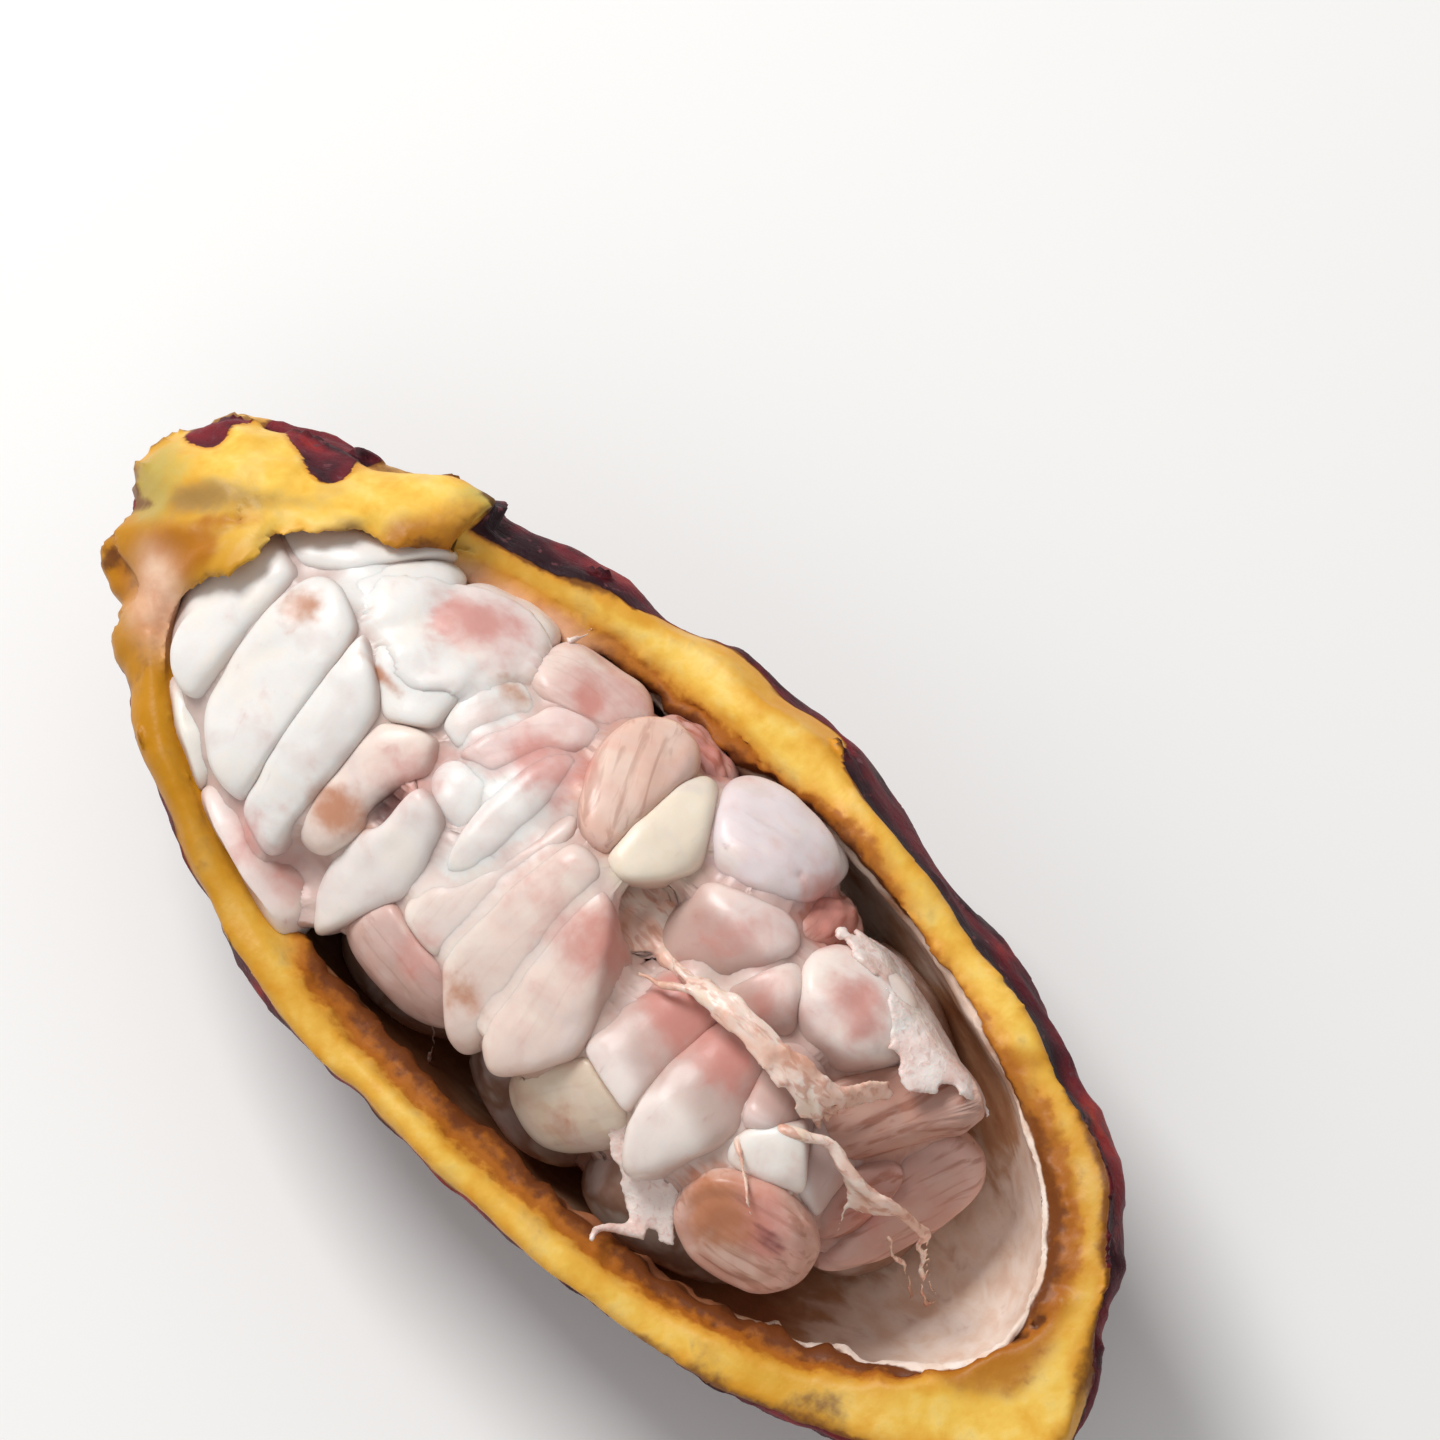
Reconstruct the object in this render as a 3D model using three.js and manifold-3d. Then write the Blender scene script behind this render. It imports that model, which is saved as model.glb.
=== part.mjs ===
// Open cacao pod: one half of the fruit on its back, with the seeds still on their placenta.
// Millimetres. +X runs from the stem end to the tip, +Y across, +Z up; z = 0 is the surface it lies on,
// and the origin is the middle of the flat spot that it lies on.
import * as THREE from "three";
import { mergeVertices } from "three/addons/utils/BufferGeometryUtils.js";
import Module from "manifold-3d";

const wasm = await Module();
wasm.setup();

// ---------------------------------------------------------------- driving dimensions

const STEM_LENGTH = 102; // from the widest place to the stem end
const TIP_LENGTH = 99; // and to the tip
const POD_HALF_WIDTH = 43.4;
const AXIS_HEIGHT = 42.4; // the pod's own axis, over the surface
const STEM_TAPER = { power: 1.5, root: 0.45 }; // the stem end is blunt
const TIP_TAPER = { power: 1.8, root: 0.58 }; // and the tip more pointed
const TIP_HOOK = { from: 60, by: -9 }; // where the tip starts to bend aside, and how far it goes
const POD_ASIDE = 1.2; // the pod's middle line, off the cavity's
// How far the pod's sides stand off the plain taper: x, then the -Y side, then the +Y side.
const SIDES = [
  [-76, 0, 0],
  [-60, -0.2, -0.6],
  [-50, 0.1, -1.6],
  [-40, 1.5, -0.6],
  [-30, 0.9, -1.6],
  [-18, 0.6, 1.2],
  [-9, -1.4, 0.2],
  [0, -2.2, 0.2],
  [10, -1.5, -0.5],
  [20, -1.2, -0.4],
  [30, -0.2, 0.4],
  [40, 0.9, 0.5],
  [50, 0.9, 0.5],
  [60, 1.8, 0.2],
  [67, 1.5, 1.8],
  [76, 0.5, 4],
  [84, 0, 1.4],
  [90, 0, -2.6],
  [96, 0, -1.2],
];
// The scalloped outline of the stem end in plan: degrees round LOBE_CENTRE, from -X towards +Y,
// then how far it stands off the plain end.
const LOBES = [
  [-108, 0],
  [-98, -1],
  [-90, -2.6],
  [-84, -2.4],
  [-76, -1.1],
  [-68, -0.8],
  [-60, -3.2],
  [-52, -1.5],
  [-42, 0.2],
  [-36, 1.1],
  [-28, -0.8],
  [-20, -2.8],
  [-12, 0.7],
  [-4, 3.6],
  [4, 3.4],
  [12, 4.2],
  [20, 1.6],
  [28, 4.2],
  [36, 4.6],
  [44, 3.1],
  [52, 1.2],
  [60, 2.2],
  [68, 2],
  [80, 0.6],
  [100, 0],
];
const LOBE_CENTRE = { x: -80, y: 3 };
const LOBE_ONSET = { from: -66, full: -80 };
const LOBE_STEPS = 4; // to undo them
const BODY_RINGS = 33;
const BODY_SIDES = 60;

const RIDGE_COUNT = 10; // five pairs, with a deep furrow between pairs
const RIDGE_TURN = 18; // degrees from +Y to the first ridge
const RIDGE_CREST = 1.4; // how far the ridges stand out of the plain pod
const RIDGE_FLATNESS = 1.4; // over 1, ridges are broader than furrows
const RIDGE_MEANDER = 5; // degrees
const DEEP_FURROW = 4.2; // below the crests
const SHALLOW_FURROW = 2.1;
const LUMP_HEIGHT = 0.7;
const FULL_RELIEF_RADIUS = 16; // the relief fades where the pod is thinner than this

const CAVITY_HALF = new THREE.Vector3(84.3, 36, 35.5);
const CAVITY_CENTRE = new THREE.Vector3(-3, -0.9, AXIS_HEIGHT + 1);
const CAVITY_POWER = 2.15; // how full the cavity's ends are
const CAVITY_RINGS = 21;
const CAVITY_SIDES = 36;

const RIM_OVER_AXIS = 6; // the cut runs above the middle, so more than half the pod is left
const RIM_TILT = 0.13; // and climbs towards +Y
const LIP_HEIGHT = 19.5; // over the axis: the flesh left standing round the stem end
const LIP_SLOPE = 0.7; // its broken face follows the pod's back, this much flatter
const LIP_TORN_END = -59.5; // where the lip breaks off on the +Y side
const LIP_NEAR_END = -11; // and where it sinks into the rim on the -Y side
const LIP_NEAR_FADE = 7;
const LIP_TORN_STEP = 1.5;
const SHOULDER_HEIGHT = 3.5; // the rim beyond the torn end, which sinks to the plain rim
const SHOULDER_LENGTH = 44;
const CUT_STEP = new THREE.Vector2(4.25, 4.5); // the grid that the broken face is made on
const CUT_CELLS = new THREE.Vector2(50, 24);

const COB_CENTRE = new THREE.Vector3(-9, 4.6, 37); // the mass of seeds, like a cob
const COB_HALF = new THREE.Vector3(80, 31, 24);
const COB_END_POWER = 4;

const GAP = 0.5; // between neighbours
const WALL_GAP = 1.3; // between a bean and the cavity's wall
const BEAN_SWELL = 1.2; // beans are pressed flat where they meet, so each is drawn a little too big
const BEAN_FULLNESS = 2.4; // 2 is an ellipsoid, more is squarer
const PRESS_SHARPNESS = 11; // how sharp the edge of a pressed face is
const FINE = 3; // icosahedron detail of a bean that shows
const PLAIN = 2; // of a small one
const COARSE = 1; // and of a hidden one
const SMALL_LENGTH = 21;

const TRUNK_RADIUS = 2.3;
const TRUNK_SIDES = 8;
const TRUNK_STEPS = 26;
const BEAD_COUNT = 70; // the beans are pressed against the placenta as against a string of beads

const SKIN_COLOUR = 0x4a1522;
const PULP_COLOUR = 0xeadfd8;
const PLACENTA_COLOUR = 0xd9a58c;

// ---------------------------------------------------------------- small helpers

const degrees = THREE.MathUtils.degToRad;

function smooth(value, from, to) {
  return from < to
    ? THREE.MathUtils.smoothstep(value, from, to)
    : 1 - THREE.MathUtils.smoothstep(value, to, from);
}

// A table's value between its rows, running smoothly from each to the next.
function between(rows, at, column = 1) {
  const next = rows.findIndex((row) => row[0] > at);
  if (next === 0) return rows[0][column];
  if (next < 0) return rows.at(-1)[column];
  const share = smooth(at, rows[next - 1][0], rows[next][0]);
  return THREE.MathUtils.lerp(rows[next - 1][column], rows[next][column], share);
}

function toManifold(geometry) {
  const bare = new THREE.BufferGeometry();
  bare.setAttribute("position", geometry.getAttribute("position"));
  if (geometry.index) bare.setIndex(geometry.index);
  const merged = mergeVertices(bare, 1e-4);
  return new wasm.Manifold(
    new wasm.Mesh({
      numProp: 3,
      vertProperties: merged.attributes.position.array,
      triVerts: new Uint32Array(merged.index.array),
    }),
  );
}

function toGeometry(solid) {
  const mesh = solid.getMesh();
  const geometry = new THREE.BufferGeometry();
  geometry.setAttribute("position", new THREE.BufferAttribute(mesh.vertProperties, 3));
  geometry.setIndex(new THREE.BufferAttribute(mesh.triVerts, 1));
  geometry.computeVertexNormals();
  return geometry;
}

// A closed skin round the X axis: ringPoint(station, turn) gives each ring's points, between two poles.
function ringedSolid(poles, stations, around, ringPoint) {
  const points = [poles[0]];
  for (const station of stations)
    for (let i = 0; i < around; i++) points.push(ringPoint(station, (i / around) * 2 * Math.PI));
  points.push(poles[1]);
  const at = (ring, i) => 1 + ring * around + (i % around);
  const faces = [];
  const lastRing = stations.length - 1;
  for (let i = 0; i < around; i++) {
    faces.push(0, at(0, i + 1), at(0, i));
    faces.push(points.length - 1, at(lastRing, i), at(lastRing, i + 1));
    for (let ring = 0; ring < lastRing; ring++) {
      faces.push(at(ring, i), at(ring, i + 1), at(ring + 1, i));
      faces.push(at(ring, i + 1), at(ring + 1, i + 1), at(ring + 1, i));
    }
  }
  return new THREE.BufferGeometry().setFromPoints(points).setIndex(faces);
}

// Stations from -1 to 1, closer together towards the ends.
function endCrowded(count) {
  return Array.from({ length: count }, (_, i) => -Math.cos(((i + 1) / (count + 1)) * Math.PI));
}

// ---------------------------------------------------------------- husk

function podRadius(x) {
  const { power, root } = x < 0 ? STEM_TAPER : TIP_TAPER;
  const share = Math.min(Math.abs(x) / (x < 0 ? STEM_LENGTH : TIP_LENGTH), 1);
  return POD_HALF_WIDTH * (1 - share ** power) ** root;
}

// The pod is a little crooked: where its middle line runs, in plan.
function podMiddle(x) {
  const past = Math.max((x - TIP_HOOK.from) / (TIP_LENGTH - TIP_HOOK.from), 0);
  return POD_ASIDE + TIP_HOOK.by * past ** 2;
}

// How far the ridges, furrows and lumps of the skin stand out of the plain pod.
function skinRelief(x, turn) {
  const meander = turn + degrees(RIDGE_MEANDER) * Math.sin(x / 34) - degrees(RIDGE_TURN);
  const furrow = (0.5 + 0.5 * Math.cos(RIDGE_COUNT * meander)) ** RIDGE_FLATNESS;
  const deep = 0.5 + 0.5 * Math.cos((RIDGE_COUNT / 2) * meander);
  const lumps =
    Math.sin(x / 5.3 + 3 * Math.sin(turn * 2)) * Math.sin(turn * 7 + x / 17) +
    0.7 * Math.sin(x / 8.1 - turn * 4 + 1.3);
  const depth = furrow * (SHALLOW_FURROW + (DEEP_FURROW - SHALLOW_FURROW) * deep);
  const fade = Math.min(podRadius(x) / FULL_RELIEF_RADIUS, 1);
  return (RIDGE_CREST - depth + LUMP_HEIGHT * lumps) * fade;
}

function podBody() {
  const middle = (TIP_LENGTH - STEM_LENGTH) / 2;
  const half = (TIP_LENGTH + STEM_LENGTH) / 2;
  const stations = endCrowded(BODY_RINGS).map((s) => middle + s * half);
  const poles = [-STEM_LENGTH, TIP_LENGTH].map(
    (x) => new THREE.Vector3(x, podMiddle(x), AXIS_HEIGHT),
  );
  return ringedSolid(poles, stations, BODY_SIDES, (x, turn) => {
    const side = between(SIDES, x, Math.cos(turn) < 0 ? 1 : 2) * Math.abs(Math.cos(turn));
    const radius = podRadius(x) + side + skinRelief(x, turn);
    const point = new THREE.Vector3(
      x,
      podMiddle(x) + radius * Math.cos(turn),
      AXIS_HEIGHT + radius * Math.sin(turn),
    );
    return point.add(lobeShift(point.x, point.y));
  });
}

// Seen from above, the stem end is scalloped where the ridges begin: how far a point moves for that.
function lobeShift(x, y) {
  const turn = Math.atan2(y - LOBE_CENTRE.y, LOBE_CENTRE.x - x);
  const onset = smooth(x, LOBE_ONSET.from, LOBE_ONSET.full);
  const height = between(LOBES, THREE.MathUtils.radToDeg(turn)) * onset;
  return new THREE.Vector3(-height * Math.cos(turn), height * Math.sin(turn), 0);
}

// Where a point of the plan would be without that.
function withoutLobes(x, y) {
  const moved = new THREE.Vector3(x, y, 0);
  let plain = moved;
  for (let i = 0; i < LOBE_STEPS; i++) plain = moved.clone().sub(lobeShift(plain.x, plain.y));
  return plain;
}

function cavity() {
  const poles = [-1, 1].map((s) =>
    new THREE.Vector3(s * CAVITY_HALF.x, 0, 0).add(CAVITY_CENTRE),
  );
  return ringedSolid(poles, endCrowded(CAVITY_RINGS), CAVITY_SIDES, (s, turn) => {
    const share = Math.sqrt(1 - Math.abs(s) ** CAVITY_POWER);
    return new THREE.Vector3(
      s * CAVITY_HALF.x,
      share * CAVITY_HALF.y * Math.cos(turn),
      share * CAVITY_HALF.z * Math.sin(turn),
    ).add(CAVITY_CENTRE);
  });
}

// The height at which the pod was cut or broken open, over any point of the plan.
function cutHeight(x, y) {
  const plain = withoutLobes(x, y);
  const back = Math.sqrt(Math.max(podRadius(plain.x) ** 2 - (plain.y - podMiddle(plain.x)) ** 2, 0));
  const onLip =
    smooth(x, LIP_TORN_END + LIP_TORN_STEP, LIP_TORN_END - LIP_TORN_STEP) *
    smooth(y, LIP_NEAR_END - LIP_NEAR_FADE, LIP_NEAR_END + LIP_NEAR_FADE);
  const lip = Math.min(LIP_HEIGHT - Math.sin(x / 4 + y / 3), 1 + LIP_SLOPE * back);
  const shoulder =
    SHOULDER_HEIGHT *
    smooth(y, 0, 20) *
    smooth(x, LIP_TORN_END + SHOULDER_LENGTH, LIP_TORN_END);
  const wave = 0.7 * Math.sin(x / 13 + 1) + 0.4 * Math.sin(x / 4.7 + y / 9);
  const rim = RIM_OVER_AXIS + RIM_TILT * y + wave + shoulder;
  return AXIS_HEIGHT + THREE.MathUtils.lerp(rim, lip, onLip);
}

// Everything above the cut: a block whose underside follows cutHeight.
function lid() {
  const spread = (axis) =>
    Array.from({ length: CUT_CELLS[axis] + 1 }, (_, i) => (i - CUT_CELLS[axis] / 2) * CUT_STEP[axis]);
  const xs = spread("x");
  const ys = spread("y");
  const top = AXIS_HEIGHT + 2 * POD_HALF_WIDTH;
  const points = [];
  for (const x of xs)
    for (const y of ys) points.push(new THREE.Vector3(x, y, cutHeight(x, y)));
  const under = (i, j) => i * ys.length + j;
  const over = (i, j) => points.length / 2 + under(i, j);
  for (const p of [...points]) points.push(new THREE.Vector3(p.x, p.y, top));
  const faces = [];
  const quad = (a, b, c, d) => faces.push(a, b, c, a, c, d);
  for (let i = 0; i < xs.length - 1; i++)
    for (let j = 0; j < ys.length - 1; j++) {
      quad(under(i, j), under(i, j + 1), under(i + 1, j + 1), under(i + 1, j));
      quad(over(i, j), over(i + 1, j), over(i + 1, j + 1), over(i, j + 1));
    }
  const endX = xs.length - 1;
  const endY = ys.length - 1;
  for (let i = 0; i < endX; i++) {
    quad(under(i, 0), under(i + 1, 0), over(i + 1, 0), over(i, 0));
    quad(under(i + 1, endY), under(i, endY), over(i, endY), over(i + 1, endY));
  }
  for (let j = 0; j < endY; j++) {
    quad(under(0, j + 1), under(0, j), over(0, j), over(0, j + 1));
    quad(under(endX, j), under(endX, j + 1), over(endX, j + 1), over(endX, j));
  }
  return new THREE.BufferGeometry().setFromPoints(points).setIndex(faces);
}

function husk() {
  const belowGround = new THREE.BoxGeometry(300, 200, 40).translate(0, 0, -20);
  const solid = toManifold(podBody())
    .subtract(toManifold(cavity()))
    .subtract(toManifold(lid()))
    .subtract(toManifold(belowGround));
  const largest = solid.decompose().sort((a, b) => b.volume() - a.volume())[0];
  return toGeometry(largest);
}

// ---------------------------------------------------------------- placenta

// The trunk runs inside the mass from the stem end, comes out on top, and hangs down over the tip end.
const TRUNK = new THREE.CatmullRomCurve3(
  [
    [-76, 3, 42],
    [-58, 4, 45],
    [-40, 3, 46.5],
    [-20, 2.5, 48],
    [-6, 2.5, 52.5],
    [4, 2.5, 57.5],
    [16, 1, 60],
    [29, 1.5, 60.5],
    [41, 2.5, 57.5],
    [48, 1, 52.5],
    [55, -0.5, 47],
    [61, -1, 41],
    [64, -1.5, 35],
  ].map((p) => new THREE.Vector3(...p)),
);

function placenta() {
  const section = new THREE.Shape();
  section.absellipse(0, 0, TRUNK_RADIUS, TRUNK_RADIUS * 0.8, 0, 2 * Math.PI);
  return new THREE.ExtrudeGeometry(section, {
    steps: TRUNK_STEPS,
    curveSegments: TRUNK_SIDES / 2,
    extrudePath: TRUNK,
    bevelEnabled: false,
  });
}

// ---------------------------------------------------------------- beans

// The height of the cob's upper face over a point of the plan, and which way is out of it.
function cobHeight(x, y) {
  const along = Math.abs((x - COB_CENTRE.x) / COB_HALF.x) ** COB_END_POWER;
  const across = ((y - COB_CENTRE.y) / COB_HALF.y) ** 2;
  return COB_CENTRE.z + COB_HALF.z * Math.sqrt(Math.max(1 - along - across, 0.04));
}

function cobNormal(x, y) {
  const step = 0.5;
  return new THREE.Vector3(
    (cobHeight(x - step, y) - cobHeight(x + step, y)) / (2 * step),
    (cobHeight(x, y - step) - cobHeight(x, y + step)) / (2 * step),
    1,
  ).normalize();
}

// Each bean that shows: where its middle is in plan, how far its middle lies under the cob's face,
// which way it points (degrees from +X towards +Y), and its length, width and thickness.
const BEANS = [
  // the row from the spine down to -Y, from the stem end
  { x: -78, y: -2.5, sink: 6.5, heading: 84, size: [33, 19, 13] },
  { x: -61, y: -8.5, sink: 5.5, heading: 104, size: [34, 18, 13] },
  { x: -51.5, y: -11.8, sink: 6, heading: 99, size: [35.5, 15, 13] },
  { x: -40, y: -9.5, sink: 6.5, heading: 77, size: [27, 14, 12] },
  { x: -30.5, y: -18.7, sink: 6, heading: 91, size: [35, 12, 12] },
  { x: -18.5, y: -9, sink: 6.5, heading: 88, size: [33, 15, 12] },
  { x: -8, y: -12.5, sink: 6, heading: 85, size: [35, 15, 13] },
  { x: 2, y: -9.5, sink: 5.5, heading: 97, size: [35, 17, 13] },
  { x: 16, y: -9.5, sink: 6, heading: 95, size: [32, 17, 13] },
  { x: 26.5, y: -8.5, sink: 5.5, heading: 92, size: [30, 17, 13] },
  // the row from the spine up to +Y
  { x: -70, y: 13.8, sink: 6.5, heading: 33, size: [22.5, 12, 9] },
  { x: -58.5, y: 12, sink: 6, heading: 5, size: [18, 15, 11] },
  { x: -45.5, y: 5, sink: 5.5, heading: -15, size: [20, 15, 11] },
  { x: -45.5, y: 16.2, sink: 6, heading: 25, size: [24, 15, 12] },
  { x: -28, y: 21.7, sink: 6, heading: 18, size: [24, 13.5, 12] },
  { x: -27.5, y: 8.5, sink: 6, heading: 57, size: [24, 14, 12] },
  { x: -11.5, y: 16, sink: 4.5, heading: 118, size: [26, 16, 13] },
  { x: -3.5, y: 14, sink: 3.5, heading: 92, size: [21, 11, 11] },
  { x: 6.5, y: 25.5, sink: 1.5, heading: 10, size: [23, 20, 12] },
  { x: 13, y: 10, sink: 6, heading: 40, size: [24, 15, 13] },
  { x: 23.5, y: 7, sink: 6.5, heading: 70, size: [14, 10, 11] },
  { x: 32, y: 16.5, sink: 6, heading: 15, size: [21, 16, 13] },
  // lower down on the -Y flank
  { x: -69, y: -21, sink: 6, heading: -25, size: [22, 15, 13] },
  { x: -50, y: -26.5, sink: 4.5, heading: -22, size: [25, 15, 12] },
  { x: -20, y: -24, sink: 5, heading: -15, size: [22, 14, 12] },
  { x: 13, y: -22, sink: 6, heading: 70, size: [22, 13, 11] },
  // the loose end towards the tip
  { x: 44.5, y: -18.5, sink: 3.5, heading: 8, size: [21.5, 18, 12] },
  { x: 48.5, y: 4, sink: 6.5, heading: 70, size: [34, 18, 13] },
  { x: 62, y: 2, sink: 15, heading: 73, size: [30, 15, 12] },
  { x: 54, y: -6.5, sink: 12, heading: 60, size: [18, 11, 10] },
  { x: 47, y: -4, sink: 8, heading: 100, size: [16, 12, 10] },
  // small ones between the rows
  { x: -22, y: -0.5, sink: 2.5, heading: 88, size: [20, 6, 7] },
  { x: -28.5, y: -3.5, sink: 4.5, heading: 10, size: [11, 8, 8] },
  { x: -35.5, y: 8, sink: 5, heading: 67, size: [14, 9, 9] },
  { x: -12, y: 29, sink: 5, heading: 5, size: [14, 9, 9] },
  { x: 18.5, y: 24, sink: 7, heading: 100, size: [15, 11, 10] },
  { x: 35, y: -0.5, sink: 5, heading: 105, size: [13, 10, 10] },
  { x: 41, y: -8, sink: 6, heading: 67, size: [13, 11, 10] },
];

// The lower rows, which carry those above: three lines along the cavity's floor.
const LOWER_ROWS = [
  { y: -13, z: 29, from: -48, count: 4 },
  { y: 4, z: 25, from: -62, count: 5 },
  { y: 20, z: 29.5, from: -48, count: 4 },
];
const LOWER_STEP = 26;
const LOWER_BEAN = [27, 18, 24];
const LOWER_AXIS_HEIGHT = 60; // they lean away from a line this high

// A bean's own axes: along it, across it and through it.
function beanFrame(along, out) {
  const across = out.clone().cross(along).normalize();
  return [across.clone().cross(out).normalize(), across, out];
}

function lyingOnCob({ x, y, sink, heading, size }) {
  const out = cobNormal(x, y);
  const centre = new THREE.Vector3(x, y, cobHeight(x, y)).addScaledVector(out, -sink);
  const pointing = new THREE.Vector3(Math.cos(degrees(heading)), Math.sin(degrees(heading)), 0);
  const detail = size[0] < SMALL_LENGTH ? PLAIN : FINE;
  return { centre, axes: beanFrame(pointing, out), half: size.map((s) => s / 2), detail };
}

function lowerBeans() {
  return LOWER_ROWS.flatMap(({ y, z, from, count }) =>
    Array.from({ length: count }, (_, i) => {
      const centre = new THREE.Vector3(from + i * LOWER_STEP, y, z);
      const out = new THREE.Vector3(0, y - COB_CENTRE.y, z - LOWER_AXIS_HEIGHT).normalize();
      const heading = degrees(i % 2 ? 25 : -20);
      const pointing = new THREE.Vector3(Math.cos(heading), Math.sin(heading), 0);
      return {
        centre,
        axes: beanFrame(pointing, out),
        half: LOWER_BEAN.map((s) => s / 2),
        detail: COARSE,
      };
    }),
  );
}

// 0 at the middle, 1 on the surface of the plain ellipsoid.
function level(body, point) {
  const from = point.clone().sub(body.centre);
  return body.axes.reduce((sum, axis, i) => sum + (from.dot(axis) / body.half[i]) ** 2, 0);
}

function levelSlope(body, point) {
  const from = point.clone().sub(body.centre);
  return body.axes.reduce(
    (sum, axis, i) => sum.addScaledVector(axis, (2 * from.dot(axis)) / body.half[i] ** 2),
    new THREE.Vector3(),
  );
}

// The flat face that two neighbours press into each other: its normal points away from the first.
function pressedFace(body, other) {
  let near = 0;
  let far = 1;
  const point = new THREE.Vector3();
  for (let i = 0; i < 30; i++) {
    const middle = (near + far) / 2;
    point.lerpVectors(body.centre, other.centre, middle);
    if (level(body, point) < level(other, point)) near = middle;
    else far = middle;
  }
  const normal = levelSlope(body, point).sub(levelSlope(other, point)).normalize();
  return { normal, reach: normal.dot(point.clone().sub(body.centre)) - GAP / 2 };
}

// The flat face that a bead of the placenta presses into a bean.
function faceOnBead(body, bead) {
  const normal = levelSlope(body, bead).normalize();
  return { normal, reach: normal.dot(bead.clone().sub(body.centre)) - TRUNK_RADIUS - GAP };
}

// How far a ray from a bean's middle runs before it meets the cavity's wall.
function reachToWall(centre, direction) {
  const outside = (distance) => {
    const p = centre.clone().addScaledVector(direction, distance).sub(CAVITY_CENTRE);
    return (
      Math.abs(p.x / CAVITY_HALF.x) ** CAVITY_POWER +
        (p.y / CAVITY_HALF.y) ** 2 +
        (p.z / CAVITY_HALF.z) ** 2 >
      1
    );
  };
  let near = 0;
  let far = 60;
  for (let i = 0; i < 24; i++) {
    const middle = (near + far) / 2;
    if (outside(middle)) far = middle;
    else near = middle;
  }
  return far;
}

function beanGeometry(bean, faces) {
  const geometry = mergeVertices(bareIcosphere(bean.detail), 1e-4);
  const position = geometry.attributes.position;
  const unit = new THREE.Vector3();
  for (let i = 0; i < position.count; i++) {
    unit.fromBufferAttribute(position, i);
    const direction = new THREE.Vector3();
    bean.axes.forEach((axis, k) =>
      direction.addScaledVector(axis, unit.getComponent(k) * bean.half[k]),
    );
    direction.normalize();
    const plain =
      BEAN_SWELL *
      bean.axes.reduce(
        (sum, axis, k) => sum + Math.abs(direction.dot(axis) / bean.half[k]) ** BEAN_FULLNESS,
        0,
      ) **
        (-1 / BEAN_FULLNESS);
    const reaches = [plain, reachToWall(bean.centre, direction) - WALL_GAP];
    for (const { normal, reach } of faces) {
      const lean = direction.dot(normal);
      if (lean > 0.02) reaches.push(reach / lean);
    }
    const distance =
      reaches.reduce((sum, r) => sum + Math.max(r, 0.5) ** -PRESS_SHARPNESS, 0) **
      (-1 / PRESS_SHARPNESS);
    direction.multiplyScalar(distance).add(bean.centre);
    position.setXYZ(i, direction.x, direction.y, direction.z);
  }
  geometry.computeVertexNormals();
  return geometry;
}

function bareIcosphere(detail) {
  const geometry = new THREE.IcosahedronGeometry(1, detail);
  geometry.deleteAttribute("normal");
  geometry.deleteAttribute("uv");
  return geometry;
}

// ---------------------------------------------------------------- assembly

function named(name, geometry, material) {
  const mesh = new THREE.Mesh(geometry, material);
  mesh.name = name;
  return mesh;
}

const skin = new THREE.MeshStandardMaterial({ color: SKIN_COLOUR, roughness: 0.55 });
const pulp = new THREE.MeshStandardMaterial({ color: PULP_COLOUR, roughness: 0.35 });
const fibre = new THREE.MeshStandardMaterial({ color: PLACENTA_COLOUR, roughness: 0.5 });

const pod = new THREE.Group();
pod.add(named("husk", husk(), skin));
pod.add(named("placenta", placenta(), fibre));

const beans = [...BEANS.map(lyingOnCob), ...lowerBeans()];
const beads = TRUNK.getSpacedPoints(BEAD_COUNT);
beans.forEach((bean, i) => {
  const faces = [
    ...beans.filter((other) => other !== bean).map((other) => pressedFace(bean, other)),
    ...beads.map((bead) => faceOnBead(bean, bead)),
  ];
  pod.add(named(`bean_${String(i + 1).padStart(2, "0")}`, beanGeometry(bean, faces), pulp));
});

export default pod;
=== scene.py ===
import math

import bpy
import numpy as np
from mathutils import Matrix, Vector
from mathutils.kdtree import KDTree


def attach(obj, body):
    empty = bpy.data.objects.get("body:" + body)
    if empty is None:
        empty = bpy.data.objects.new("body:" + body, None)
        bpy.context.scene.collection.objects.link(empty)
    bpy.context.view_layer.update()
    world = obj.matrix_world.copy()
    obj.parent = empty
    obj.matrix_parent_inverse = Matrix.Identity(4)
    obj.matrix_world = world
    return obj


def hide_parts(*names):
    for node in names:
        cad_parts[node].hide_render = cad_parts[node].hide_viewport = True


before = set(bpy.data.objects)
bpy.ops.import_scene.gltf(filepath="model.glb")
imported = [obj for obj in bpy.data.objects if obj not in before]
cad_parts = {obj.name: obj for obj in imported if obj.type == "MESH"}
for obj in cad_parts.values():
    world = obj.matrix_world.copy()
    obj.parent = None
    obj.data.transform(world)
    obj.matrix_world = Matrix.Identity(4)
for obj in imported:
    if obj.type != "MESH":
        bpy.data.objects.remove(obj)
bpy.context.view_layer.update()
MM = 0.001
bpy.ops.object.select_all(action="DESELECT")

# ---------------------------------------------------------------- camera
# It looks down at the open side from 0.94 m, over the pod's -Y side and a little towards the tip, with
# the stem end at the upper left. No lens shift and everything sharp.
CAMERA_PLACE = Vector((200.06, -193.20, 898.35)) * MM
CAMERA_AZIMUTH = math.radians(43.211)
CAMERA_ELEVATION = math.radians(69.817)
CAMERA_ROLL = math.radians(2.623)
CAMERA_LENS = 153.53  # mm, on a 36 mm sensor

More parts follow.
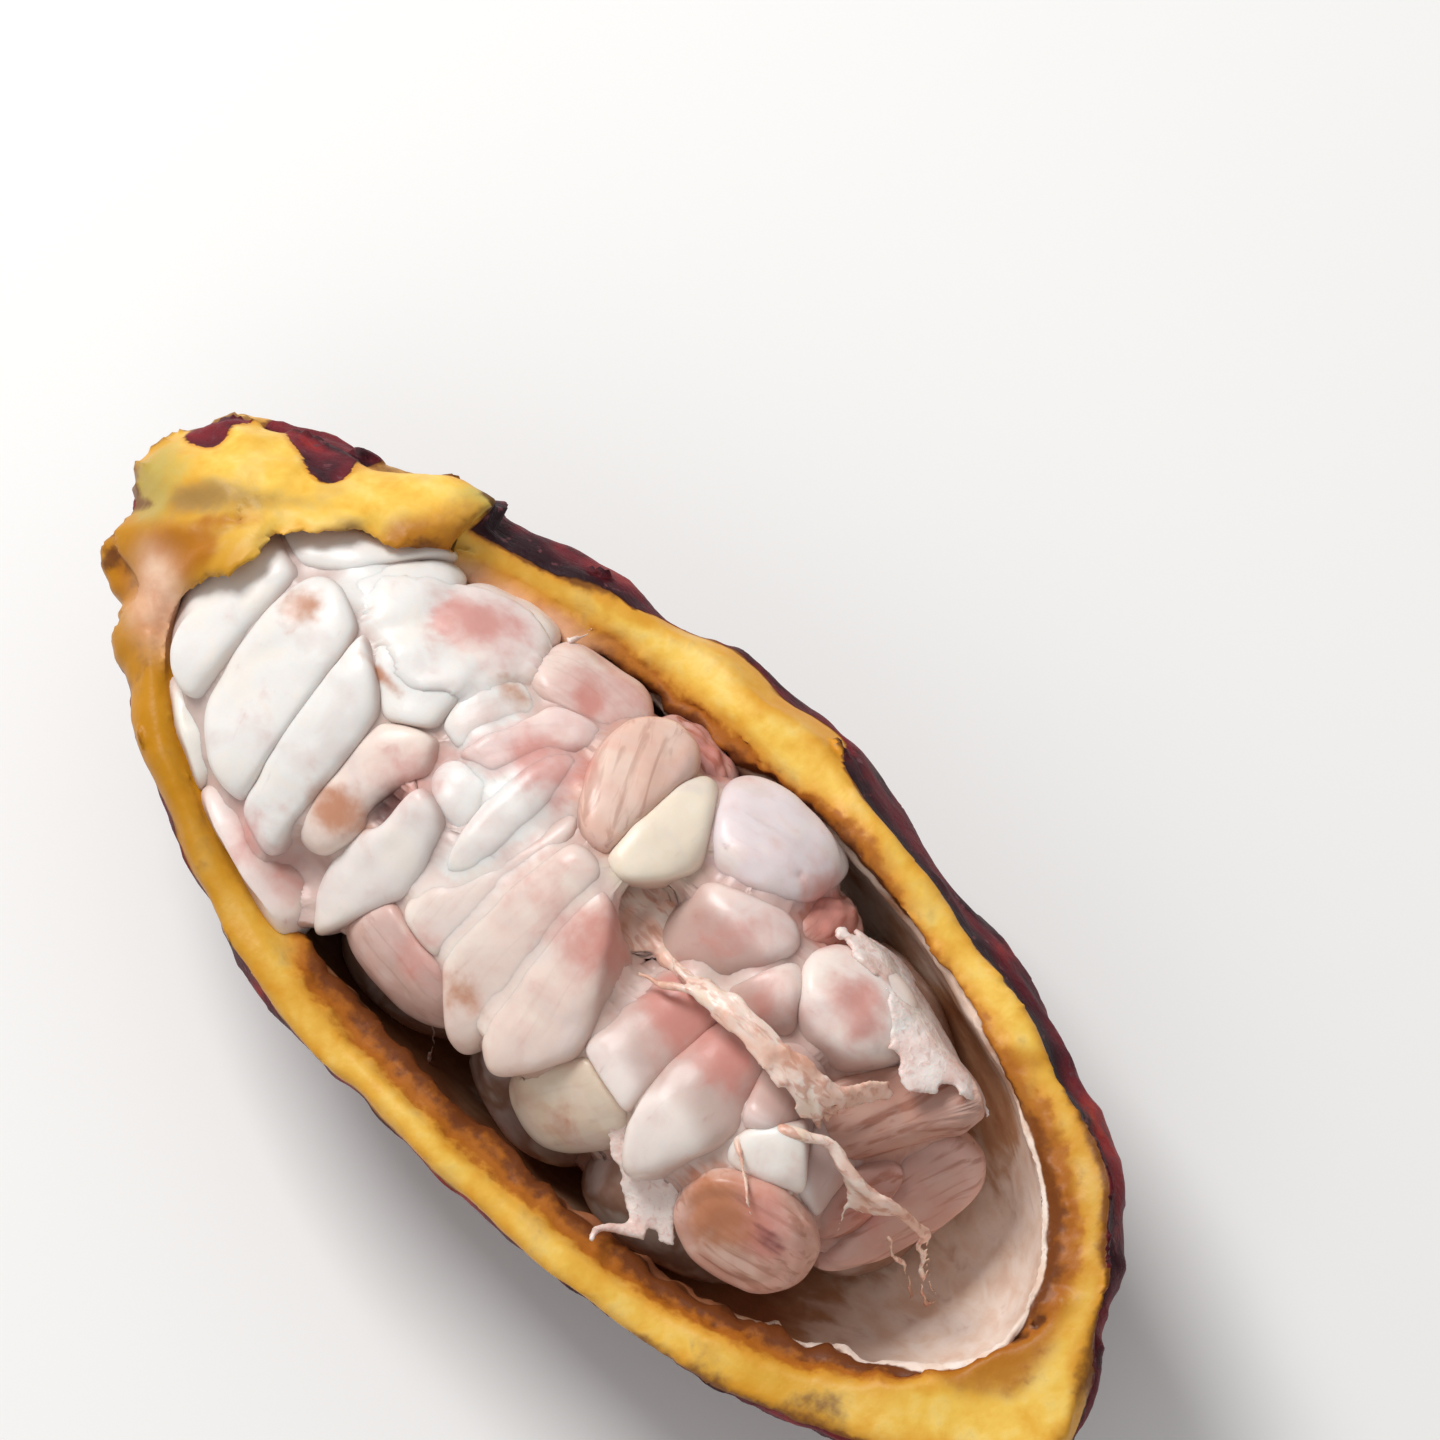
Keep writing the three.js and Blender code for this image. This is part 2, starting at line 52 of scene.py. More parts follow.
back = Vector((
    math.sin(CAMERA_AZIMUTH) * math.cos(CAMERA_ELEVATION),
    -math.cos(CAMERA_AZIMUTH) * math.cos(CAMERA_ELEVATION),
    math.sin(CAMERA_ELEVATION),
))
level_right = Vector((math.cos(CAMERA_AZIMUTH), math.sin(CAMERA_AZIMUTH), 0))
level_up = back.cross(level_right)
right = math.cos(CAMERA_ROLL) * level_right + math.sin(CAMERA_ROLL) * level_up
up = -math.sin(CAMERA_ROLL) * level_right + math.cos(CAMERA_ROLL) * level_up
turned = Matrix((right, up, back)).transposed().to_4x4()
bpy.ops.object.camera_add()
camera = bpy.context.object
camera.name = "camera"
camera.matrix_world = Matrix.Translation(CAMERA_PLACE) @ turned
camera.data.sensor_width = 36
camera.data.lens = CAMERA_LENS
camera.data.clip_start = 0.05
bpy.context.scene.camera = camera
bpy.context.scene.view_settings.view_transform = "Standard"

# ---------------------------------------------------------------- husk
# Half of a ripe cacao pod's wall, 5 to 12 mm of firm golden flesh under a ridged maroon skin and over a
# soft cream lining. It was cut round the side and broken off at the stem end, where a lip of flesh is
# left standing, and the broken flesh has browned where it met the air.
HUSK_GRID = 0.86  # mm between the mesh's points
STEM_LENGTH, TIP_LENGTH = 102, 99
POD_HALF_WIDTH, AXIS_HEIGHT = 43.4, 42.4
CAVITY_HALF = np.array((84.3, 36, 35.5))
CAVITY_CENTRE = np.array((-3, -0.9, AXIS_HEIGHT + 1))
CAVITY_POWER = 2.15
SKIN_THICKNESS = 0.9
# how far the pod's sides stand off the plain taper, in mm: x, then the -Y side, then the +Y side
SIDES = np.array((
    (-76, 0, 0), (-60, -0.2, -0.6), (-50, 0.1, -1.6), (-40, 1.5, -0.6), (-30, 0.9, -1.6),
    (-18, 0.6, 1.2), (-9, -1.4, 0.2), (0, -2.2, 0.2), (10, -1.5, -0.5), (20, -1.2, -0.4),
    (30, -0.2, 0.4), (40, 0.9, 0.5), (50, 0.9, 0.5), (60, 1.8, 0.2), (67, 1.5, 1.8), (76, 0.5, 4),
    (84, 0, 1.4), (90, 0, -2.6), (96, 0, -1.2),
))
# the scalloped outline of the stem end in plan: degrees round (-80, 3) from -X towards +Y, then mm
LOBES = np.array((
    (-108, 0), (-98, -1), (-90, -2.6), (-84, -2.4), (-76, -1.1), (-68, -0.8), (-60, -3.2),
    (-52, -1.5), (-42, 0.2), (-36, 1.1), (-28, -0.8), (-20, -2.8), (-12, 0.7), (-4, 3.6), (4, 3.4),
    (12, 4.2), (20, 1.6), (28, 4.2), (36, 4.6), (44, 3.1), (52, 1.2), (60, 2.2), (68, 2), (80, 0.6),
    (100, 0),
))
# marks on the wall, each a spot's x, y, z and radius in mm and its strength: rind still left over the lip,
# flesh gone olive, gone a muddy brown, wet and orange-brown, scorched dark, or under a pale skin, then
# paler patches and stains of the lining, and torn slots at its edge
RIND_LEFT_ON_LIP = (
    (-99.8, 9.8, 50.8, 2.4, 1), (-98.7, 11.3, 51.6, 3.0, 1), (-99.1, 14.1, 49.4, 3.0, 1),
    (-97.1, 10.1, 52.7, 2.2, 1), (-98.2, 15.4, 49.6, 2.4, 1), (-93.6, 20.4, 46.1, 2.6, 1),
    (-91.5, 21.7, 46.0, 3.2, 1), (-87.3, 21.1, 51.2, 4.0, 1), (-84.2, 20.9, 53.0, 4.6, 1),
    (-81.1, 18.9, 55.9, 3.8, 1), (-79.4, 17.5, 57.4, 2.4, 1), (-83.6, 23.7, 48.5, 4.4, 1),
    (-82.3, 25.2, 46.4, 3.8, 1), (-81.2, 26.8, 43.8, 3.4, 1), (-88.5, 22.5, 47.5, 3.6, 1),
)
OLIVE_SPOTS = (
    (-99.9, -0.2, 51.3, 5.0, 0.8), (-99.1, -2.1, 49.3, 4.0, 0.9), (-100.9, 3.9, 51.7, 4.0, 0.5),
    (-94.8, -2.7, 52.8, 4.0, 0.7), (-95.4, 3.1, 55.5, 4.0, 0.35), (-61.2, 25.9, 57.7, 3.5, 0.8),
    (-63.9, 29.6, 50.3, 2.5, 0.8),
)
MUDDY_SPOTS = (
    (-92.6, -0.8, 55.4, 2.6, 0.7), (-91.1, 0.6, 56.4, 2.6, 0.8), (-89.7, 2.3, 57.7, 2.8, 0.8),
    (-87.6, 3.3, 58.8, 2.6, 0.7), (-84.8, 4.4, 60.2, 2.6, 0.6), (-82.8, 6.0, 60.3, 2.6, 0.5),
    (-81.0, 8.3, 60.3, 2.6, 0.45), (-78.0, 10.6, 60.6, 2.6, 0.4), (-75.2, 12.9, 60.9, 2.6, 0.35),
    (-69.9, 12.0, 62.0, 2.4, 0.5), (-68.0, 13.3, 61.9, 2.4, 0.6), (82.4, -1.0, 48.4, 3.4, 0.7),
)
BURNT_SPOTS = (
    (-89.6, -7.3, 54.1, 3.5, 0.8), (-86.9, -6.1, 55.8, 3.5, 0.9), (-84.6, -4.4, 58.0, 3.2, 0.9),
    (-87.5, -8.3, 53.7, 3.0, 0.8), (-84.3, -7.0, 56.3, 3.0, 0.9), (-82.8, -4.2, 58.9, 2.5, 0.8),
    (-86.5, -0.8, 58.4, 1.5, 0.7), (-84.2, 0.6, 59.5, 1.6, 0.8), (-82.2, 2.3, 60.3, 1.6, 0.7),
    (-80.3, 4.2, 60.8, 1.6, 0.5), (-65.0, 17.5, 61.4, 2.6, 0.7), (-63.1, 19.1, 60.8, 3.0, 0.9),
    (-61.3, 21.0, 59.5, 2.6, 0.8), (-60.8, 23.5, 58.6, 2.4, 0.6), (-94.9, -11.4, 45.7, 4.0, 0.6),
    (-91.2, -13.9, 44.7, 4.0, 0.5), (-93.8, -8.8, 51.2, 4.0, 0.4), (81.8, 4.6, 49.4, 3.4, 0.7),
    (78.8, 11.0, 50.1, 2.8, 0.9), (76.4, 14.2, 50.3, 2.8, 0.9), (73.5, 16.8, 50.5, 2.8, 0.9),
    (70.4, 19.1, 50.6, 2.6, 0.9), (67.0, 20.7, 50.7, 2.6, 0.8), (63.1, 22.5, 51.0, 2.4, 0.7),
    (83.0, -9.0, 47.6, 3.4, 0.6), (84.8, -5.0, 48.0, 3.0, 0.6), (54, 27, 51, 3, 0.8), (56, 30, 51, 2, 0.7),
    (46, 38, 50, 2.4, 0.5), (57, 33, 51, 2, 0.7), (84.0, 1.6, 49, 3.6, 0.8), (82, -4.6, 48.2, 3.6, 0.8),
    (85.0, -2.0, 48.4, 3.4, 0.6), (79.5, -10.0, 47.6, 3.2, 0.8), (80.6, 7.4, 49.7, 3.0, 0.8),
    (74.0, -16.0, 47.0, 2.6, 0.6), (87.0, -6.0, 48.0, 2.6, 0.4),
)
SCORCHED_SPOTS = (
    (-62, 19, 60, 2.0, 0.7), (-60, 27.8, 58, 2.6, 0.9), (-96.3, -12.2, 44.4, 2.4, 0.8),
    (-101, 4, 47, 1.6, 0.6),
)
SOFT_SPOTS = (
    (-88.7, -10.0, 51.4, 3.4, 0.8), (-86.1, -11.2, 51.2, 4.2, 0.9), (-83.7, -12.3, 50.7, 4.2, 0.9),
    (-86.0, -14.6, 48.0, 3.8, 0.7), (-81.5, -15.6, 48.4, 3.4, 0.6),
)
PALE_PATCHES = (
    (-32, -27, 30, 5, 0.8), (-24, -28, 32, 5, 0.9), (-16, -29, 34, 4, 0.8), (-8, -29, 34, 4, 0.6),
    (13, -29, 32, 5, 0.8), (22, -28, 33, 5, 0.8), (-4, -24, 17, 5, 0.6), (18, -26, 22, 5, 0.5),
)
LINING_STAINS = (
    (40, 29, 37, 5, 0.7), (48, 26, 36, 6, 0.6), (54, 25, 38, 5, 0.4), (56, 22, 32, 5, 0.25),
    (50, -22, 26, 8, 0.7), (60, -14, 22, 6, 0.15), (62, 4, 20, 6, 0.1), (28, 32, 36, 5, 0.3),
)
TORN_SLOTS = (
    (81.0, -1.8, 48.4, 1.0, 1), (81.9, -0.7, 48.6, 1.1, 1), (82.7, 0.5, 48.8, 0.9, 0.9),
    (82.9, 2.6, 49.0, 0.8, 1), (83.0, 3.8, 49.2, 0.9, 0.9), (80.0, -5.2, 48, 0.9, 0.8),
    (79.2, -7.0, 47.8, 0.8, 0.8),
)
SLOT_DEPTH = 1.8
# the cut's height over the pod's axis: at the middle of the rim, its rise for each mm towards +Y, and how
# much more it rises at the lip's shoulder
RIM_RISE, RIM_TILT, SHOULDER = 6, 0.13, 3.5
LATTICE_SIDE = 32  # the noise's lattice of random numbers, and how it is turned so that it lies with no axis
LATTICE_TURN = np.array(Matrix.Rotation(0.7, 3, Vector((1, 2, 3)).normalized()))


def choose(piece):
    """Makes piece the one that operators act on."""
    bpy.ops.object.select_all(action="DESELECT")
    piece.select_set(True)
    bpy.context.view_layer.objects.active = piece


def merged_copy(node, name):
    """A new piece with the shape of a CAD node, its loose triangles joined."""
    piece = bpy.data.objects.new(name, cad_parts[node].data.copy())
    bpy.context.scene.collection.objects.link(piece)
    piece.data.materials.clear()
    choose(piece)
    bpy.ops.object.mode_set(mode="EDIT")
    bpy.ops.mesh.select_all(action="SELECT")
    bpy.ops.mesh.remove_doubles(threshold=0.01 * MM)
    bpy.ops.object.mode_set(mode="OBJECT")
    for attribute in [a for a in piece.data.attributes if a.name == "custom_normal"]:
        piece.data.attributes.remove(attribute)
    return piece


def finish_with(piece, kind, **settings):
    """Adds a modifier and applies it."""
    choose(piece)
    modifier = piece.modifiers.new(kind.title(), kind)
    for setting, value in settings.items():
        setattr(modifier, setting, value)
    bpy.ops.object.modifier_apply(modifier=modifier.name)


def points_of(piece):
    """The mesh's points in mm, one row each."""
    flat = np.empty(len(piece.data.vertices) * 3)
    piece.data.vertices.foreach_get("co", flat)
    return flat.reshape(-1, 3) / MM


def normals_of(piece):
    flat = np.empty(len(piece.data.vertices) * 3)
    piece.data.vertex_normals.foreach_get("vector", flat)
    return flat.reshape(-1, 3)


def set_points(piece, points):
    piece.data.vertices.foreach_set("co", (points * MM).ravel())
    piece.data.update()


def keep(piece, name, values, kind="FLOAT", field="value"):
    """Stores a value at each point of the mesh, for the material to read."""
    attribute = piece.data.attributes.new(name, kind, "POINT")
    attribute.data.foreach_set(field, np.asarray(values, np.float32).ravel())


def lumps(points, size, seed):
    """Smooth noise from -1 to 1; size is the spacing of its lumps, in mm, one number or one an axis."""
    lattice = np.random.default_rng(seed).uniform(-1, 1, (LATTICE_SIDE,) * 3)
    cell = (points @ LATTICE_TURN.T if np.isscalar(size) else points) / size + seed * 3.7
    low = np.floor(cell).astype(int)
    part = cell - low
    part = part**3 * (part * (part * 6 - 15) + 10)
    total = np.zeros(len(points))
    for corner in np.ndindex(2, 2, 2):
        weight = np.prod(np.where(corner, part, 1 - part), axis=1)
        i, j, k = ((low + corner) % LATTICE_SIDE).T
        total += weight * lattice[i, j, k]
    return total


def ease(value, start, end):
    """0 before start, 1 after end, smooth between."""
    share = np.clip((value - start) / (end - start), 0, 1)
    return share * share * (3 - 2 * share)


def between_rows(rows, at, column=1):
    """A table's value between its rows, running smoothly from each to the next."""
    at = np.clip(at, rows[0, 0], rows[-1, 0])
    row = np.clip(np.searchsorted(rows[:, 0], at, side="right"), 1, len(rows) - 1)
    share = ease(at, rows[row - 1, 0], rows[row, 0])
    return rows[row - 1, column] + (rows[row, column] - rows[row - 1, column]) * share


def pod_radius(x):
    share = np.where(x < 0, -x / STEM_LENGTH, x / TIP_LENGTH)
    power, root = np.where(x < 0, 1.5, 1.8), np.where(x < 0, 0.45, 0.58)
    return POD_HALF_WIDTH * (1 - np.clip(share, 0, 0.9999) ** power) ** root


def pod_middle(x):
    past = np.maximum((x - 60) / 39, 0)
    return 1.2 - 9 * past**2


def skin_relief(x, turn):
    """How far the ten ridges and their furrows stand out of the plain pod, and the furrows' depth."""
    meander = turn + math.radians(5) * np.sin(x / 34) - math.radians(18)
    furrow = (0.5 + 0.5 * np.cos(10 * meander)) ** 1.4
    deep = 0.5 + 0.5 * np.cos(5 * meander)
    uneven = np.sin(x / 5.3 + 3 * np.sin(2 * turn)) * np.sin(7 * turn + x / 17)
    uneven += 0.7 * np.sin(x / 8.1 - 4 * turn + 1.3)
    depth = furrow * (2.1 + 2.1 * deep)
    return (1.4 - depth + 0.7 * uneven) * np.minimum(pod_radius(x) / 16, 1), depth


def lip_share(x, y):
    """1 where the lip of flesh stands, which ends in a torn edge on the +Y side."""
    torn_edge = -59.6 + 1.3 * np.sin(y / 2.1) + 0.6 * np.sin(y / 0.9)
    return (1 - ease(x - torn_edge, -0.6, 0.6)) * ease(y, -18, -4)


def cut_height(x, y):
    """Where the pod was cut or broken open, over any point of the plan."""
    plain = without_lobes(np.stack((x, y, 0 * x), 1))
    across = plain[:, 1] - pod_middle(plain[:, 0])
    back_height = np.sqrt(np.maximum(pod_radius(plain[:, 0]) ** 2 - across**2, 0))
    on_lip = lip_share(x, y)
    lip = np.minimum(19.5 - np.sin(x / 4 + y / 3), 1 + 0.7 * back_height)
    shoulder = SHOULDER * ease(y, 0, 20) * (1 - ease(x, -59.5, -15.5))
    wave = 0.7 * np.sin(x / 13 + 1) + 0.4 * np.sin(x / 4.7 + y / 9)
    rim = RIM_RISE + RIM_TILT * y + wave + shoulder
    return AXIS_HEIGHT + rim + (lip - rim) * on_lip


def without_lobes(points):
    """Undoes the scalloped outline of the stem end, so that the pod's plain formulas hold."""
    plain = points.copy()
    for _ in range(4):
        turn = np.arctan2(plain[:, 1] - 3, -80 - plain[:, 0])
        height = between_rows(LOBES, np.degrees(turn)) * (1 - ease(plain[:, 0], -80, -66))
        plain = points.copy()
        plain[:, 0] += height * np.cos(turn)
        plain[:, 1] -= height * np.sin(turn)
    return plain


def husk_places(points):
    """For each point: depth under the skin, distance from the cavity's wall, depth below the cut, the
    way out of the skin, the way out of the wall, and the furrows' depth. All in mm."""
    plain = without_lobes(points)
    x = plain[:, 0]
    across, rise = plain[:, 1] - pod_middle(x), plain[:, 2] - AXIS_HEIGHT
    from_axis = np.maximum(np.hypot(across, rise), 1e-3)
    relief, furrow = skin_relief(x, np.arctan2(rise, across))
    cosine = across / from_axis
    sides = np.where(cosine < 0, between_rows(SIDES, x, 1), between_rows(SIDES, x, 2))
    relief += sides * np.abs(cosine)
    slope = (pod_radius(x + 0.2) - pod_radius(x - 0.2)) / 0.4
    steep = np.sqrt(1 + slope**2)
    skin_depth = (pod_radius(x) + relief - from_axis) / steep
    outward = np.stack((-slope, across / from_axis, rise / from_axis), 1) / steep[:, None]
    offset = points - CAVITY_CENTRE
    powers = np.array((CAVITY_POWER, 2, 2))
    shares = np.abs(offset / CAVITY_HALF)
    level = np.sqrt((shares**powers).sum(1))
    gradient = powers * shares ** (powers - 1) / CAVITY_HALF * np.sign(offset) / (2 * level[:, None])
    size = np.linalg.norm(gradient, axis=1)
    wall_gap = (level - 1) / size
    below_cut = cut_height(points[:, 0], points[:, 1]) - points[:, 2]
    return skin_depth, wall_gap, below_cut, outward, gradient / size[:, None], furrow


husk = merged_copy("husk", "husk_flesh_and_skin")
finish_with(husk, "REMESH", mode="VOXEL", voxel_size=HUSK_GRID * MM)
finish_with(husk, "SMOOTH", factor=0.5, iterations=4)
points = points_of(husk)
for _ in range(2):  # the faceted solid's skin, wall and cut become the true curved ones
    skin_depth, wall_gap, below_cut, outward, inward, furrow = husk_places(points)
    on_skin = (skin_depth < 1.0) & (below_cut > 0.6) & (points[:, 2] > 0.6)
    on_wall = (wall_gap < 0.9) & (below_cut > 0.9) & ~on_skin
    on_cut = (np.abs(below_cut) < 3.5) & (skin_depth > 0.5) & (wall_gap > 0.5) & ~on_wall
    on_cut &= points[:, 0] > -84  # the broken stem end keeps the solid's shape
    points += outward * (skin_depth * on_skin)[:, None]
    points -= inward * (wall_gap * on_wall)[:, None]
    points[:, 2] += below_cut * on_cut
points[:, 2] = np.maximum(points[:, 2], 0)
set_points(husk, points)
finish_with(husk, "SMOOTH", factor=0.4, iterations=2)
points, normals = points_of(husk), normals_of(husk)
skin_depth, wall_gap, below_cut, outward, inward, furrow = husk_places(points)
x, y, z = points.T
far_side = ease(y, -10, 10)
on_lip = lip_share(x, y)


def along_rim(near_stations, near_values, far_stations, far_values):
    """A value that changes along both sides of the rim: x stations and their values on each side."""
    near = np.interp(x, near_stations, near_values)
    return near + (np.interp(x, far_stations, far_values) - near) * far_side


def near_spots(points, spots):
    """1 at the middle of each spot (x, y, z and radius in mm, then strength), 0 away from them."""
    amount = np.zeros(len(points))
    for *spot, radius, strength in spots:
        gap = np.linalg.norm(points - spot, axis=1) / radius
        amount += (1 - amount) * strength * np.exp(-(gap**2))
    return amount


# how wide the torn slope is that leads from the rim's inner edge down to the wall, or how far the lining
# climbs out over the rim where that is negative
slope_width = along_rim(
    (-90, -84, -42, -34, 0, 20, 35, 60, 76, 82), (1.5, 2.0, 2.0, 4.6, 5.0, 5.0, 5.0, 4.6, 2.6, 0.5),
    (-64, -60, -48, -36, -25, -15, -5, 10, 50, 58, 66, 82),
    (1, 5.4, 5.2, 4.8, 4.6, 4.4, 3.4, 0.7, 0.6, -1.0, -1.2, -1.0),
)
slope_width *= 1 + 0.25 * lumps(points, 5, 14) + 0.2 * lumps(points, 2.2, 15)
# across the rim, from the cavity's edge outwards and then down the wall: where browning and lining start
along_edge = wall_gap - np.maximum(below_cut, 0)
brown_start = along_rim(
    (-90, -40, -30, 10, 22, 40, 80), (-6, -5, -0.2, -0.6, -0.7, 0.0, 0.2),
    (-75, -60, -48, -34, -20, 0, 5, 12, 18, 30, 45, 56, 62, 80),
    (-1, -3, -3, -1.2, -1.3, -1.0, 0.4, 2.4, 2.2, -0.2, 0.6, 2.0, 4.0, 4.8),
)
lining_start = along_rim(
    (-90, -40, -30, 10, 25, 50, 72, 82), (-7, -7, -7, -7, -6, -7, -5, 0.5),
    (-75, -60, -48, -34, -20, 0, 15, 25, 33, 45, 56, 62, 80),
    (-3, -8, -8, -7, -6, -5, -3.6, -5, -1.8, -0.2, -2.0, 0.7, 0.9),
)
browned = along_rim(
    (-90, -45, -30, 80), (0.1, 0.2, 1.0, 1.0),
    (-75, -56, -40, -20, 5, 30, 50, 60, 90), (0.3, 0.2, 0.6, 1.0, 1.0, 0.8, 0.8, 0.8, 1.0),
)
# how far below the cut the flesh still shows on the outside, and how far in over the cut the rind comes
peel = along_rim(
    (-100, -90, -80, -70, -50, -40, 40, 60, 78, 88, 96), (12, 9, 6, 5, 4, 2.2, 2.0, 1.2, 0.8, 3, 9),
    (-100, -80, -64, -60, -34, -28, -8, 2, 5, 20, 50, 60, 76, 90),
    (10, 6, 4, 0.3, 0.3, 4, 5, 5, 1.6, 1.8, 1.4, 1.2, 0.5, 1.0),
)
peel = np.maximum(peel * (1 + 0.35 * lumps(points, 9, 12)) + 0.35 * lumps(points, 3, 13), 0.25)
over_cut = along_rim(
    (-100, 100), (0, 0),
    (-60.5, -59, -46, -38, -31, 60, 66, 73, 82, 88), (0, 3.2, 2.9, 1.6, 0, 0, 1.6, 2.6, 2.6, 1.5),
)
over_cut *= (1 - on_lip) * ease(along_edge, 1.2, 2.8)
rind_depth = skin_depth - over_cut + 2.6 * (1 - ease(below_cut, 0.55 * peel, 1.1 * peel + 0.3))
rind_depth += (-0.4 - rind_depth) * ease(near_spots(points, RIND_LEFT_ON_LIP), 0.15, 0.7)
low_on_skin = (below_cut > 16) & (skin_depth < 3)
rind_depth = np.where(low_on_skin, np.minimum(rind_depth, 0), rind_depth)
# how wide a scorched band lies under the skin's edge, and how far into it each point is
burn_width = along_rim(
    (-100, -80, -50, -40, 40, 52, 70, 82), (0.8, 1.5, 1.5, 0.6, 1.0, 5.5, 5.5, 1.5),
    (-100, -60, -58, -40, -30, 0, 5, 60, 64, 80, 90), (0.8, 0.8, 1.5, 1.5, 0.3, 0.3, 1.2, 1.2, 2.0, 2.0, 1.4),
)
burn_width *= 1 + 0.6 * lumps(points, 7, 16)
burn = 1.1 - (rind_depth - SKIN_THICKNESS) / np.maximum(burn_width, 0.1)
burn = np.clip(np.maximum(burn, (0.6 - skin_depth / 2) * on_lip), -1, 1.5)

# the skin's wrinkles and warts, the torn inner edge of the flesh, and the soft imprints in the lining
skin_weight = (1 - ease(rind_depth, 0.6, 1.4)) * ease(z, 0.2, 3)
wall_weight = (1 - ease(wall_gap, 0.8, 2)) * (1 - skin_weight)
down_slope = ease(below_cut, 0, 4.5) * (1 - ease(below_cut, 6, 14))
edge_weight = (1 - ease(np.abs(along_edge - brown_start + 0.8), 1, 3.5)) * browned * (1 - skin_weight)
cut_weight = 1 - np.maximum(skin_weight, wall_weight)
wrinkles = 1 - 2 * np.abs(lumps(points, np.array((15, 3.6, 3.6)), 3))
move = skin_weight * (
    0.36 * wrinkles + 0.42 * lumps(points, 6, 4) + 0.2 * lumps(points, 2.6, 5)
)
move += cut_weight * (0.2 * lumps(points, 9, 6) + 0.08 * lumps(points, 2.2, 7))
move += edge_weight * (0.7 * lumps(points, 3.4, 8) + 0.7 * np.abs(lumps(points, 1.7, 9)) - 0.2)
below_edge = ease(along_edge, lining_start - 1.2, lining_start + 0.2)
below_edge *= 1 - ease(along_edge, lining_start + 0.2, brown_start)
move -= 0.9 * below_edge * browned * wall_weight
move += wall_weight * (0.4 * lumps(points, 13, 10) + 0.12 * lumps(points, 4, 11))
move -= SLOT_DEPTH * near_spots(points, TORN_SLOTS)
moved = points + normals * move[:, None]
level_way = inward * (1, 1, 0)
level_way /= np.maximum(np.linalg.norm(level_way, axis=1), 1e-3)[:, None]
widening = np.maximum(slope_width, 0) * down_slope * (1 - ease(wall_gap, 0.4, 2)) * (1 - skin_weight)
moved -= level_way * (widening * (1 - on_lip))[:, None]
rounding = 0.5 * np.minimum(slope_width, 2.5) * (1 - ease(wall_gap, 0.2, 2.4))
rounding *= (1 - ease(below_cut, 1, 3)) * (slope_width > 0) * (1 - skin_weight) * (1 - on_lip)
moved[:, 2] -= rounding
climbing = np.minimum(slope_width, 0) * (1 - ease(wall_gap, 0, 3.4)) * (1 - ease(below_cut, 0, 2.5))
moved[:, 2] += climbing * (1 - skin_weight)
# the lip's torn end leans out a little and hangs over the rim beyond it
rim_height = AXIS_HEIGHT + RIM_RISE + RIM_TILT * y + SHOULDER * ease(y, 0, 20)
tongue = ease(x, -64, -60.6) * (1 - ease(x, -58.4, -57)) * ease(z - rim_height, 0.8, 3.2) * ease(y, -2, 6)
moved += tongue[:, None] * (1.9, 0.5, -0.2) * (1 + 0.5 * lumps(points, 3, 18))[:, None]
overhang = on_lip * ease(x, -70, -64) * ease(y, 10, 15) * (1 - ease(y, 19, 25)) * ease(z, 50, 56)
moved += overhang[:, None] * (0.9, -1.7, -0.3)
lean = on_lip * ease(x, -78, -66) * ease(y, 16, 26) * ease(z, 44, 52)
moved += lean[:, None] * (0.2, 3.6, 1.0) * (1 + 0.4 * lumps(points, 6, 17))[:, None]
moved[:, 2] = np.maximum(moved[:, 2], 0)
set_points(husk, moved)
peach = far_side * ease(x, -64, -59) * (1 - ease(x, -42, -30))
peach *= (1 - ease(along_edge, -3.5, -0.5)) * (1 - on_lip)
near_floor = (1 - far_side) * ease(x, -48, -30) * (1 - ease(x, 42, 62))
# a warm brown over the far wall's lining is painted bounce light, laid in with the real stains
far_wall_bounce = 0.24 * far_side * (1 - ease(x, 58, 72))
stains_and_bounce = near_floor * (1 - near_spots(points, PALE_PATCHES)) + near_spots(points, LINING_STAINS) + far_wall_bounce
husk_marks = {
    "rind_depth": rind_depth,
    "from_brown": along_edge - brown_start,
    "from_lining": along_edge - lining_start,
    "wall_gap": wall_gap,
    "browned": browned,
    "furrow": furrow,
    "olive": near_spots(points, OLIVE_SPOTS),
    "muddy": near_spots(points, MUDDY_SPOTS),
    "burnt": near_spots(points, BURNT_SPOTS),
    "scorched": near_spots(points, SCORCHED_SPOTS + TORN_SLOTS),
    "burn": burn,
    "in_shade": along_rim(
        (-90, -66, -50, -35, -15, 10, 50, 62, 72, 85), (1, 1, 0.8, 0.45, 0.25, 0.15, 0.2, 0.5, 0.4, 0),
        (-100, 62, 72, 84, 90), (0, 0, 0.45, 0.4, 0.2),
    ),
    "peach": np.maximum(peach, near_spots(points, SOFT_SPOTS)),
    "lining_stain_and_bounce": np.clip(stains_and_bounce, 0, 1),
}
for name, values in husk_marks.items():
    keep(husk, name, values)


def colour(code):
    """A #RRGGBB colour as Blender's linear RGBA."""
    shares = [int(code[i : i + 2], 16) / 255 for i in (1, 3, 5)]
    linear = [s / 12.92 if s <= 0.04045 else ((s + 0.055) / 1.055) ** 2.4 for s in shares]
    return (*linear, 1)


def new_material(name):
    material = bpy.data.materials.new(name)
    material.use_nodes = True
    material.node_tree.nodes.clear()
    return material, material.node_tree


